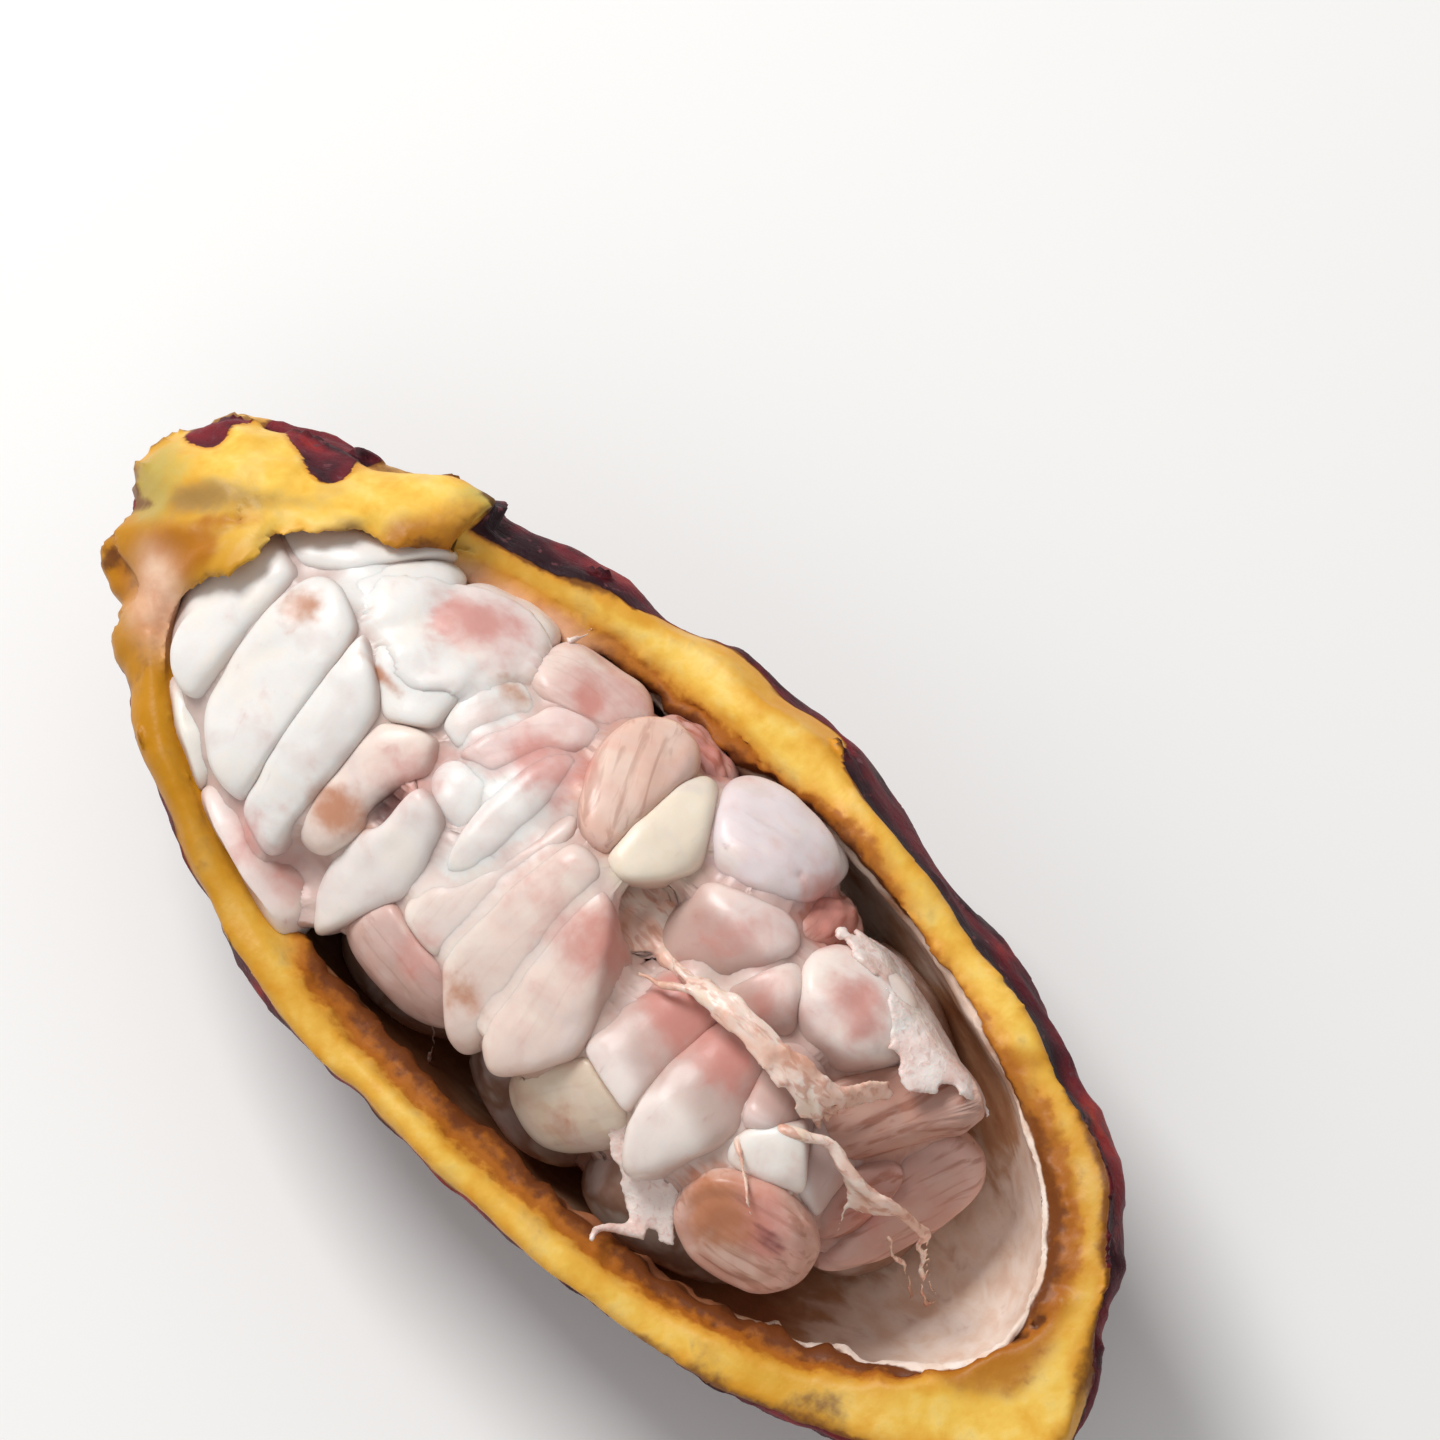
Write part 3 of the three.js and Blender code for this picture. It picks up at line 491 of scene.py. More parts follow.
def add(tree, kind, inputs=None, out=0, stops=None, **settings):
    """Adds a node and returns one of its outputs: settings are the node's own, and each input is a value or
    the output that feeds it."""
    node = tree.nodes.new("ShaderNode" + kind)
    for setting, value in settings.items():
        setattr(node, setting, value)
    for place, value in (inputs or {}).items():
        if isinstance(value, bpy.types.NodeSocket):
            tree.links.new(value, node.inputs[place])
        else:
            node.inputs[place].default_value = value
    if stops:
        ramp = node.color_ramp
        while len(ramp.elements) < len(stops):
            ramp.elements.new(1)
        for element, (place, code) in zip(ramp.elements, stops):
            element.position, element.color = place, colour(code)
    return node.outputs[out] if node.outputs else None


def unsettled(source, *patterns):
    """source with noise on it: each pattern is a noise from 0 to 1, and how far its whole swing moves it."""
    for pattern, swing in patterns:
        centred = add(source.id_data, "Math", {0: pattern, 1: 0.5}, operation="SUBTRACT")
        source = add(source.id_data, "Math", {0: centred, 1: swing, 2: source}, operation="MULTIPLY_ADD")
    return source


def mask(source, start, end, *patterns):
    """0 where source is at start and 1 where it is at end, smooth between, its edge broken up by patterns."""
    inputs = {"Value": unsettled(source, *patterns), "From Min": start, "From Max": end}
    return add(source.id_data, "MapRange", inputs, interpolation_type="SMOOTHSTEP")


def painted(base, *coats):
    """base with colours laid over it in turn, each with a mask for where it lies, its strength and itself."""
    for where, strength, coat in coats:
        factor = add(base.id_data, "Math", {0: where, 1: strength}, operation="MULTIPLY")
        coat = colour(coat) if isinstance(coat, str) else coat
        base = add(base.id_data, "Mix", {0: factor, 6: base, 7: coat}, out=2, data_type="RGBA")
    return base


# ripe pod wall: matt ridged rind, fibrous wet mesocarp and smooth endocarp. The rind is a thin dark line
# round the cut, the flesh is golden and browns towards the cavity, the lining is cream with brown stains
material, tree = new_material("cacao_pod_wall")
place = add(tree, "TexCoord", out="Object")
along = add(tree, "Mapping", {"Vector": place, "Scale": (0.25, 1, 1)})
half_along = add(tree, "Mapping", {"Vector": place, "Scale": (0.4, 1, 1)})
fine, coarse, broad, blotches, streaks, creases = (
    add(tree, "TexNoise", {"Vector": way, "Scale": 1 / (size * MM), "Detail": detail, "Distortion": swirl})
    for way, size, detail, swirl in (
        (place, 1.6, 4, 0), (place, 6, 4, 0.3), (place, 17, 3, 0), (place, 13, 5, 0.6),
        (along, 3.2, 4, 0.4), (half_along, 1.1, 5, 0.8),
    )
)
at = {name: add(tree, "Attribute", out="Fac", attribute_name=name) for name in husk_marks}

skin_stops = [(0.3, "#34101A"), (0.44, "#5A1622"), (0.55, "#781E27"), (0.66, "#9A2A28"), (0.78, "#BC4C2C")]
skin = painted(
    add(tree, "ValToRGB", {"Fac": blotches}, stops=skin_stops),
    (mask(coarse, 0.52, 0.7), 0.85, "#2A0F19"),
    (mask(at["furrow"], 1.5, 4), 1, "#2A1119"),
    (mask(fine, 0.6, 0.72), 1, "#6B3A40"),
)
flesh_stops = [(0.25, "#E6AC38"), (0.5, "#F1C456"), (0.75, "#F8DA80")]
flesh = painted(
    add(tree, "ValToRGB", {"Fac": unsettled(coarse, (fine, 0.3))}, stops=flesh_stops),
    # oranger under the skin and towards the torn edge, deeper where light doesn't reach, and in patches
    (mask(at["rind_depth"], 5.0, 1.6, (coarse, 3.0)), 0.75, "#D98E26"),
    (mask(at["from_brown"], 3.6, 0.2, (coarse, 2.5)), 0.8, "#DD9334"),
    (at["in_shade"], 0.9, "#B87A04"),
    (mask(broad, 0.52, 0.7, (coarse, 0.5)), 0.45, "#C98A22"),
    # the spots where it has turned
    (mask(at["olive"], 0.12, 0.9, (coarse, 0.55), (fine, 0.3)), 0.75, "#B0A055"),
    (mask(at["muddy"], 0.12, 0.9, (coarse, 0.55), (fine, 0.3)), 0.85, "#9A7746"),
    (mask(at["burnt"], 0.12, 0.9, (coarse, 0.55), (fine, 0.3)), 0.9, "#AD6812"),
    # dark under the rind's edge, browned towards the cavity, darkest where it tore
    (mask(at["burn"], 0.1, 0.9, (coarse, 1.2), (fine, 0.8)), 0.85, "#6B3716"),
    (mask(at["from_brown"], 1.4, -0.4, (coarse, 3.0), (fine, 3.0)), at["browned"], "#AC641F"),
    (mask(at["from_brown"], -0.6, -2.4, (coarse, 3.0), (fine, 3.0)), at["browned"], "#6E3A1A"),
    (mask(at["scorched"], 0.25, 0.7, (coarse, 0.9), (fine, 0.6)), 0.85, "#5E3115"),
)
lining_stops = [(0.3, "#EBCCB7"), (0.5, "#F5E0D0"), (0.7, "#FCEEE4")]
lining = painted(
    add(tree, "ValToRGB", {"Fac": streaks}, stops=lining_stops),
    (mask(broad, 0.54, 0.74, (coarse, 0.3)), 0.3, "#B98A6C"),
    # the lining's brown stains, together with the painted warm bounce light on the far wall
    (mask(at["lining_stain_and_bounce"], 0.1, 0.55, (streaks, 1.1), (coarse, 0.5)), 1, "#C4926F"),
    (mask(at["lining_stain_and_bounce"], 0.45, 1.0, (streaks, 1.1), (coarse, 0.5)), 1, "#A56846"),
)
on_lining = mask(at["from_lining"], 0.3, -0.3, (fine, 0.5), (coarse, 1.4))
on_skin = mask(at["rind_depth"], SKIN_THICKNESS + 0.25, SKIN_THICKNESS - 0.25, (coarse, 1.1))
wall = painted(
    flesh,
    (on_lining, mask(at["wall_gap"], 4.4, 3.6), lining),
    (at["peach"], 1, add(tree, "ValToRGB", {"Fac": coarse}, stops=[(0.35, "#DCA383"), (0.65, "#F0CBAE")])),
    (on_skin, 1, skin),
)
grain = add(tree, "Bump", {"Height": fine, "Strength": 0.35, "Distance": 0.35 * MM})
height = add(tree, "Math", {0: creases, 1: on_skin}, operation="MULTIPLY")
surface = add(tree, "BsdfPrincipled", {
    "Base Color": wall,
    "Roughness": add(tree, "MapRange", {"Value": on_skin, "To Min": 0.42, "To Max": 0.6}),
    "IOR": 1.4,
    "Specular IOR Level": 0.3,
    "Normal": add(tree, "Bump", {"Height": height, "Strength": 0.6, "Distance": 0.6 * MM, "Normal": grain}),
})
add(tree, "OutputMaterial", {"Surface": surface})


def clad(piece, material):
    """Gives a piece one material, and shades it smooth."""
    piece.data.materials.clear()
    piece.data.materials.append(material)
    choose(piece)
    bpy.ops.object.shade_smooth()


clad(husk, material)
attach(husk, "root")
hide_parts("husk")

# ---------------------------------------------------------------- seeds in their pulp
# About fifty seeds, each in its own sleeve of wet white pulp, pressed together like grains on a cob round
# the placenta. The pulp is white to pink, with tan bruises where it was handled, and faint fibres along it.
COB_CENTRE = np.array((-9, 4.6, 37))
COB_HALF = np.array((80, 31, 24))
PULP_GAP = -0.7  # mm between neighbours: their soft pulp has grown together where the solids leave 0.5
WALL_CLEARANCE = 0.9
SEED_SWELL = np.array((1.25, 1.55, 1.25))  # along, across and through
SEED_FULLNESS = 2.3
PRESS_SHARPNESS = 9
SMALL_SEED = 335  # mm2, length times width: seeds under this get a coarser mesh
PLACENTA_CLEARANCE = 2.4
# where each seed's middle is in plan, how far it lies under the cob's face, its heading in degrees from
# +X, its length, width and thickness in mm, and its tint: 0 white, 1 pink
SEEDS = [
    # from the placenta down to the -Y side, from the stem end
    (-78, -2.5, 6.5, 84, 33, 19, 13, 0.0),
    (-61, -8.5, 5.5, 104, 34, 18, 13, 0.0),
    (-51.5, -11.8, 6, 99, 35.5, 15, 13, 0.1),
    (-40, -9.5, 6.5, 77, 27, 14, 12, 0.2),
    (-30.5, -18.7, 6, 91, 35, 12, 12, 0.1),
    (-18.5, -9, 6.5, 88, 33, 15, 12, 0.4),
    (-8, -12.5, 6, 85, 35, 15, 13, 0.35),
    (2, -9.5, 5.5, 97, 35, 17, 13, 0.4),
    (16, -9.5, 6, 95, 32, 17, 13, 0.25),
    (26.5, -8.5, 5.5, 92, 30, 17, 13, 0.2),
    # from the placenta up to the +Y side
    (-70, 13.8, 6.5, 33, 22.5, 12, 9, 0.0),
    (-58.5, 12, 6, 5, 18, 15, 11, 0.0),
    (-45.5, 5, 5.5, -15, 20, 15, 11, 0.1),
    (-45.5, 16.2, 6, 25, 24, 15, 12, 0.2),
    (-28, 21.7, 6, 18, 24, 13.5, 12, 0.5),
    (-27.5, 8.5, 6, 57, 24, 14, 12, 0.4),
    (-11.5, 16, 4.5, 118, 26, 16, 13, 0.7),
    (-3.5, 14, 3.5, 92, 21, 11, 11, 0.1),
    (6.5, 25.5, 1.5, 10, 23, 20, 12, 0.3),
    (13, 10, 6, 40, 24, 15, 13, 0.3),
    (23.5, 7, 6.5, 70, 14, 10, 11, 0.3),
    (32, 16.5, 6, 15, 21, 16, 13, 0.3),
    # lower down on the -Y flank
    (-69, -21, 6, -25, 22, 15, 13, 0.0),
    (-50, -26.5, 4.5, -22, 25, 15, 12, 0.3),
    (-20, -24, 5, -15, 22, 14, 12, 0.6),
    (13, -22, 6, 70, 22, 13, 11, 0.4),
    # the loose end towards the tip
    (44.5, -18.5, 3.5, 8, 21.5, 18, 12, 0.8),
    (48.5, 4, 6.5, 70, 34, 18, 13, 0.9),
    (62, 2, 15, 73, 30, 15, 12, 0.8),
    (54, -6.5, 12, 60, 18, 11, 10, 0.9),
    (47, -4, 8, 100, 16, 12, 10, 0.3),
    # small ones between the rows
    (-22, -0.5, 2.5, 88, 20, 6, 7, 0.3),
    (-28.5, -3.5, 4.5, 10, 11, 8, 8, 0.2),
    (-35.5, 8, 5, 67, 14, 9, 9, 0.4),
    (-12, 29, 5, 5, 14, 9, 9, 1.0),
    (18.5, 24, 7, 100, 15, 11, 10, 1.0),
    (35, -0.5, 5, 105, 13, 10, 10, 0.4),
    (41, -8, 6, 67, 13, 11, 10, 0.3),
]
# how far the soft pulp of some is pushed up past the plain solids, in mm, where they fill the lip's hollow
LIFT = {1: 1.2, 11: 3.0, 12: 0.8, 23: 3.0, 24: 1.5}
# the lower rows that carry them: y, z, the first seed's x and how many; their headings take turns
LOWER_ROWS = ((-13, 29, -48, 4), (4, 25, -62, 5), (20, 29.5, -48, 4))
LOWER_SPACING, LOWER_HEADINGS, LOWER_HALF = 26, (-20, 25), (13.5, 9, 12)
# only what is near enough to a seed's middle can press on it, in mm
SEEDS_WITHIN, PLACENTA_WITHIN = 45, 30
PLACENTA_PATH = np.array((
    (-76, 3, 42), (-58, 4, 45), (-40, 3, 46.5), (-20, 2.5, 48), (-6, 2.5, 52.5), (4, 2.5, 57.5),
    (16, 1, 60), (29, 1.5, 60.5), (41, 2.5, 57.5), (48, 1, 52.5), (55, -0.5, 47), (61, -1, 41),
    (64, -1.5, 35),
))


def cob_height(x, y):
    left = 1 - abs((x - COB_CENTRE[0]) / COB_HALF[0]) ** 4 - ((y - COB_CENTRE[1]) / COB_HALF[1]) ** 2
    return COB_CENTRE[2] + COB_HALF[2] * math.sqrt(max(left, 0.04))


def seed_axes(heading, out):
    """Unit vectors along a seed, across it and through it."""
    along = np.array((math.cos(math.radians(heading)), math.sin(math.radians(heading)), 0))
    across = np.cross(out, along)
    across /= np.linalg.norm(across)
    return np.stack((np.cross(across, out), across, out))


def smooth_path(points, steps):
    """A Catmull-Rom curve through the points."""
    padded = np.vstack((2 * points[0] - points[1], points, 2 * points[-1] - points[-2]))
    made = []
    for i in range(len(points) - 1):
        a, b, c, d = padded[i : i + 4]
        for t in np.linspace(0, 1, steps, endpoint=False):
            made.append(0.5 * (2 * b + (c - a) * t + (2 * a - 5 * b + 4 * c - d) * t**2
                               + (3 * b - a - 3 * c + d) * t**3))
    return np.array(made + [points[-1]])


seeds = []
for x0, y0, sink, heading, *size, tint in SEEDS:
    slope_x = cob_height(x0 - 0.5, y0) - cob_height(x0 + 0.5, y0)
    slope_y = cob_height(x0, y0 - 0.5) - cob_height(x0, y0 + 0.5)
    out = np.array((slope_x, slope_y, 1))
    out /= np.linalg.norm(out)
    middle = np.array((x0, y0, cob_height(x0, y0))) - sink * out
    middle += LIFT.get(len(seeds) + 1, 0) * out
    finesse = 4 if size[0] * size[1] < SMALL_SEED else 5
    seeds.append((middle, seed_axes(heading, out), np.array(size) / 2, finesse + 1, tint))
for y0, z0, first, count in LOWER_ROWS:
    for i in range(count):
        out = np.array((0, y0 - COB_CENTRE[1], z0 - 60))
        axes = seed_axes(LOWER_HEADINGS[i % 2], out / np.linalg.norm(out))
        middle = np.array((first + LOWER_SPACING * i, y0, z0))
        seeds.append((middle, axes, np.array(LOWER_HALF), 4, 0.3))
beads = smooth_path(PLACENTA_PATH, 6)


def level(seed, point):
    middle, axes, half = seed[:3]
    return (((axes @ (point - middle)) / half) ** 2).sum()


def level_slope(seed, point):
    middle, axes, half = seed[:3]
    return ((axes @ (point - middle)) / half**2) @ axes


def pressed_face(seed, other):
    """The plane where two neighbours meet: its normal, away from the first, and its distance."""
    near, far = 0.0, 1.0
    for _ in range(22):
        share = (near + far) / 2
        point = seed[0] + (other[0] - seed[0]) * share
        if level(seed, point) < level(other, point):
            near = share
        else:
            far = share
    normal = level_slope(seed, point) - level_slope(other, point)
    normal /= np.linalg.norm(normal)
    return normal, normal @ (point - seed[0]) - PULP_GAP / 2


def face_on_placenta(seed, bead):
    normal = level_slope(seed, bead)
    normal /= np.linalg.norm(normal)
    return normal, normal @ (bead - seed[0]) - PLACENTA_CLEARANCE


def wall_reach(middle, directions):
    """How far rays from a seed's middle run before they meet the cavity's wall."""
    near, far = np.zeros(len(directions)), np.full(len(directions), 60.0)
    for _ in range(18):
        share = (near + far) / 2
        offset = np.abs(middle + directions * share[:, None] - CAVITY_CENTRE) / CAVITY_HALF
        outside = (offset ** (CAVITY_POWER, 2, 2)).sum(1) > 1
        near, far = np.where(outside, near, share), np.where(outside, share, far)
    return far


# tan bruises, dark streaks, pink blushes and open crevices, whose dark colour is painted shade: x, y, z and
# radius in mm, then how strong
BRUISES = [
    (-65.6, 0.2, 60.6, 3.4, 0.8), (-67.0, -1.2, 59.4, 2.2, 0.5), (-41.7, -17.5, 54.6, 4.4, 0.9),
    (-38.5, -16.0, 55.6, 3.0, 0.6), (-8.2, -22.4, 53.2, 4.2, 0.6), (13.2, -24.6, 46.3, 4.0, 0.5),
    (40.3, -19.6, 53.9, 6.0, 0.9), (37.8, -20.4, 53.4, 4.0, 0.7), (43.0, -21.4, 51.6, 4.0, 0.6),
    (-54.4, 0.2, 61.8, 0.9, 1.0), (-53.4, 0.2, 61.7, 0.9, 1.0), (-52.4, 0.3, 61.3, 0.9, 1.0),
    (-51.2, 0.5, 60.6, 1.0, 1.0), (-50.0, 0.6, 60.2, 1.0, 1.0), (-48.6, 0.6, 60.4, 0.9, 1.0),
    # the two at x -36.0 and -33.4 are painted shade, where the seeds under the torn skin meet the one beside
    # them
    (-47.2, 0.5, 60.7, 0.9, 0.9), (-46.0, 0.4, 61.0, 0.8, 0.8), (-36.0, 12.1, 60.0, 2.0, 0.6),
    (-33.4, 12.7, 59.8, 2.2, 0.6), (41.5, -20.8, 52.6, 4.4, 0.8),
]
DARK_STREAKS = [
    (3.9, 17.3, 62.3, 1.0, 0.35), (3.8, 18.6, 62.9, 1.0, 0.35), (4.6, 19.9, 63.0, 0.9, 0.35),
    (40.2, -17.4, 55.6, 1.1, 0.8), (41.2, -16.9, 55.8, 1.2, 1.0), (42.4, -16.5, 55.9, 1.2, 1.0),
    (43.6, -16.2, 55.9, 1.1, 0.9), (46.2, -17.6, 54.5, 1.4, 0.6), (47.4, -17.6, 54.1, 1.7, 0.9),
    (48.8, -17.5, 53.5, 1.8, 1.0), (50.2, -17.4, 52.9, 1.7, 0.9), (51.4, -17.3, 52.4, 1.4, 0.7),
]
BLUSHES = [
    (-49.0, 12.9, 60.2, 4.2, 0.6), (-47.2, 15.4, 60.0, 4.6, 0.6), (-45.0, 17.6, 59.4, 4.4, 0.6),
    (-43.0, 19.6, 58.6, 3.6, 0.5),
    (-26.2, 19.9, 58.7, 3.0, 0.9), (-24.1, 26.0, 55.4, 6.0, 0.6), (-30.0, 22.0, 57.8, 4.0, 0.35),
    (-25.0, 7.1, 60.8, 4.4, 0.9), (-21.0, 8.8, 62.1, 5.0, 0.8), (-18.0, 12.0, 61.5, 3.0, 0.4),
    (2.0, -4.3, 62.0, 6.0, 0.8), (0.5, -7.5, 61.0, 5.0, 0.5), (5.0, -1.5, 60.0, 4.0, 0.6),
    (-12.0, -4.0, 62.0, 5.0, 0.4), (15.9, -3.2, 57.6, 5.0, 0.9), (18.6, -4.2, 57.0, 4.0, 0.7),
    (12.0, -2.0, 56.0, 4.0, 0.7), (25.5, -3.0, 57.7, 5.0, 0.8), (27.6, -4.6, 57.4, 4.0, 0.6),
    (13.2, 8.8, 60.6, 4.5, 0.45), (16.5, 12.0, 60.6, 3.5, 0.4), (33.4, 15.6, 60.3, 5.0, 0.8),
    (36.2, 13.8, 59.8, 3.6, 0.6), (24.0, 7.0, 58.0, 4.0, 0.6), (-47.8, -27.5, 46.1, 4.0, 0.7),
    (-41.4, -27.8, 42.0, 3.6, 0.7), (-51.0, -25.5, 48.0, 3.5, 0.4), (-17.6, -23.7, 50.2, 5.0, 0.6),
    (-35.1, -3.8, 58.3, 6.0, 0.4), (-37.0, -9.0, 60.0, 5.0, 0.35), (44.5, -17.0, 55.0, 5.0, 0.7),
    (47.6, -18.5, 53.6, 3.5, 0.6), (40.6, -20.6, 53.4, 5.0, 0.6), (45.0, -17.4, 54.6, 3.4, 0.6),
    (49.6, -18.4, 52.4, 3.0, 0.6), (56.6, -2.2, 47.1, 6.0, 0.9), (20.2, 23.3, 54.5, 7.0, 0.9),
    (-9.6, 29.2, 51.9, 6.0, 0.7), (-58.0, -17.0, 57.0, 4.0, 0.2),
]
CREVICES = [
    (-35.6, -13.6, 55.6, 1.8, 0.8), (-35.5, -12.0, 56.1, 2.1, 1.0), (-35.4, -10.4, 56.5, 2.2, 1.0),
    (-35.2, -8.8, 57.0, 2.1, 1.0), (-34.9, -7.4, 57.3, 1.7, 0.8), (14.6, 23.3, 61.0, 0.7, 0.9),
]
# seeds that lie loose and aren't swollen against their neighbours, and how much fuller some others are
SWELL = {19: (1.06, 1.12, 1.06), 27: (1.04, 1.06, 0.94), 28: (1.1, 1.1, 1.1), 29: (1.05, 1.15, 1.1),
         30: (1.05, 1.1, 1.1), 31: (1.1, 1.2, 1.1), 1: (1.3, 1.5, 1.45), 11: (1.4, 1.6, 1.5),
         22: (1.1, 1.2, 1.15), 24: (1.25, 1.5, 1.4)}
SHRIVELLED, LOOSE = (35, 36), (27, 28, 29)
FIRST_HIDDEN = 39
CREVICE_DEPTH = 3.0
SEED_MARKS = ("bruise", "blush", "tint", "crevice", "pressed", "dark_streak")
# the pulp's colour, plain white for most, and for the hidden ones a dull brown that is painted shade
PLAIN, IN_THE_DARK = "#EAE6E2", "#94705C"
COLOURS = {
    4: "#EBD8CE", 5: "#EAE1DC", 6: "#E9DAD2", 7: "#E6D2C8", 8: "#EAD5CA", 9: "#F0E3DC",
    10: "#F0E4DD", 14: "#EDDFDA", 15: "#E8CFC8", 16: "#EBD3CE", 17: "#EAC6B3", 18: "#EFE1CD",
    19: "#E6DADC", 20: "#EBD5CD", 21: "#EBD5CC", 22: "#F2E2DA", 23: "#E7E2DA", 24: "#ECDCD6",
    25: "#D2B4AC", 26: "#DFCEB8", 27: "#C8917C", 28: "#DBAF99", 29: "#DFBDB4", 30: "#B4847C",
    31: "#E6DBD6", 35: "#AD868D", 36: "#A86A57", 37: "#E8D4CE", 38: "#F0EAE3",
}

beans = []
for number, seed in enumerate(seeds, 1):
    middle, axes, half, finesse, tint = seed
    bpy.ops.mesh.primitive_ico_sphere_add(subdivisions=finesse, radius=MM)
    bean = bpy.context.object
    bean.name = f"seed_{number:02d}"
    unit = points_of(bean)
    directions = (unit * half) @ axes
    directions /= np.linalg.norm(directions, axis=1)[:, None]
    local = directions @ axes.T
    full = half * SWELL.get(number, SEED_SWELL)
    plain = (np.abs(local / full) ** SEED_FULLNESS).sum(1) ** (-1 / SEED_FULLNESS)
    nearness = plain**-PRESS_SHARPNESS
    wall = wall_reach(middle, directions) - WALL_CLEARANCE
    hit = middle + directions * wall[:, None]
    wall += 3 * ease(hit[:, 2] - cut_height(hit[:, 0], hit[:, 1]), 0.5, 2.5)
    nearness += np.maximum(wall, 0.5) ** -PRESS_SHARPNESS
    faces = [pressed_face(seed, other) for other in seeds if other is not seed
             and np.linalg.norm(other[0] - middle) < SEEDS_WITHIN]
    faces += [face_on_placenta(seed, bead) for bead in beads
              if np.linalg.norm(bead - middle) < PLACENTA_WITHIN]
    for normal, reach in faces:
        lean = directions @ normal
        distance = max(reach, 0.5) / np.maximum(lean, 1e-3)
        nearness += np.where(lean > 0.02, np.maximum(distance, 0.5) ** -PRESS_SHARPNESS, 0)
    # how far each point is pressed on by neighbours; the material paints shade there, in the creases
    pressed = 1 - plain**-PRESS_SHARPNESS / nearness
    shaped = middle + directions * (nearness ** (-1 / PRESS_SHARPNESS))[:, None]
    set_points(bean, shaped)
    normals = normals_of(bean)
    grain = (shaped - middle) @ axes.T
    uneven = 0.5 * lumps(shaped, 9, 20 + number) + 0.2 * lumps(shaped, 3.6, 90 + number)
    ribs = lumps(grain, np.array((18, 2.8, 2.8)), 200 + number)
    uneven += (0.04 + 0.16 * tint) * ribs
    crevice = near_spots(shaped, CREVICES)
    uneven -= CREVICE_DEPTH * crevice
    if number in SHRIVELLED:
        uneven += 0.7 * np.abs(lumps(shaped, 2.4, 400 + number)) - 0.4
    if number in LOOSE:  # flat, with a thin raised rim
        ring = np.hypot(grain[:, 0] / full[0], grain[:, 1] / full[1])
        uneven += 0.6 * (ease(ring, 0.66, 0.84) - ease(ring, 0.86, 0.98)) - 0.5 * (1 - ease(ring, 0.2, 0.7))
    set_points(bean, shaped + normals * uneven[:, None])
    marks = (
        near_spots(shaped, BRUISES), near_spots(shaped, BLUSHES), np.full(len(shaped), tint), crevice,
        ease(pressed, 0.3, 1.0), near_spots(shaped, DARK_STREAKS),
    )
    for name, values in zip(SEED_MARKS, marks):
        keep(bean, name, values)
    shade = colour(COLOURS.get(number, PLAIN if number < FIRST_HIDDEN else IN_THE_DARK))
    keep(bean, "shade", np.tile(shade, (len(shaped), 1)), "FLOAT_COLOR", "color")
    keep(bean, "grain", grain * MM, "FLOAT_VECTOR", "vector")
    beans.append(bean)

# pulp: translucent wet jelly over a firm seed; light sinks 1 to 3 mm into it and it has a soft wet gloss
pulp, tree = new_material("cacao_seed_pulp")
place = add(tree, "TexCoord", out="Object")
along = add(tree, "Attribute", out="Vector", attribute_name="grain")
along = add(tree, "Mapping", {"Vector": along, "Scale": (0.12, 1, 1)})
fibres, cloud, middling, small = (
    add(tree, "TexNoise", {"Vector": way, "Scale": 1 / (size * MM), "Detail": 3, "Distortion": swirl})
    for way, size, swirl in ((along, 1.5, 0.5), (place, 9, 0.4), (place, 4.5, 0.5), (place, 1.8, 0))
)
at = {name: add(tree, "Attribute", out="Fac", attribute_name=name) for name in SEED_MARKS}
pulp_colour = painted(
    add(tree, "Attribute", out="Color", attribute_name="shade"),
    # greyer and creamier clouds, and a warm cast over the pink ones
    (mask(cloud, 0.5, 0.68), 0.5, "#DCCFCA"),
    (mask(cloud, 0.5, 0.34), 0.4, "#F2E8DB"),
    (mask(at["tint"], 0.1, 1.1, (middling, 0.9)), 0.6, "#DDB3A6"),
    # painted shade where seeds press on each other and in the creases between them, and brown fibres through
    # the pinkest
    (at["pressed"], 0.5, "#A87464"),
    (mask(fibres, 0.5, 0.66), add(tree, "Math", {0: at["tint"], 1: 3}, operation="POWER"), "#A0644E"),
    (mask(at["blush"], 0.05, 0.95, (middling, 0.9), (small, 0.35)), 0.75, "#CE8074"),
    (mask(at["bruise"], 0.12, 0.9, (middling, 0.8), (small, 0.4)), 0.85, "#BA7850"),
    (mask(at["dark_streak"], 0.15, 0.8, (fibres, 1.0), (small, 0.4)), 0.85, "#7A3F3E"),
    # painted shade in the open crevices
    (mask(at["crevice"], 0.2, 0.7, (small, 0.2)), 0.85, "#5E2A26"),
)
soft = add(tree, "Bump", {"Height": fibres, "Strength": 0.12, "Distance": 0.25 * MM})
surface = add(tree, "BsdfPrincipled", {
    "Base Color": pulp_colour,
    "Roughness": 0.38,
    "IOR": 1.38,
    "Subsurface Weight": 0.45,
    "Subsurface Radius": (1.0, 0.7, 0.6),
    "Subsurface Scale": 1.4 * MM,
    "Coat Weight": 0.15,
    "Coat Roughness": 0.2,
    "Normal": add(tree, "Bump", {"Height": small, "Strength": 0.2, "Distance": 0.3 * MM, "Normal": soft}),
})
add(tree, "OutputMaterial", {"Surface": surface})
for number, bean in enumerate(beans, 1):
    clad(bean, pulp)
    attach(bean, "root")
    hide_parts(f"bean_{number:02d}")

# ---------------------------------------------------------------- pulp between the seeds
# Torn pulp that still joins the seeds and fills the corners between them, a little under their faces.
# It is the mass of seeds closed over its narrow gaps, and then drawn in.
PULP_GRID = 0.8
CLOSED_BY = 2.4
DRAWN_IN = 3.7
VEIL_THICKNESS = 0.6
PULP_TINT = 0.6  # as a share of the seeds'
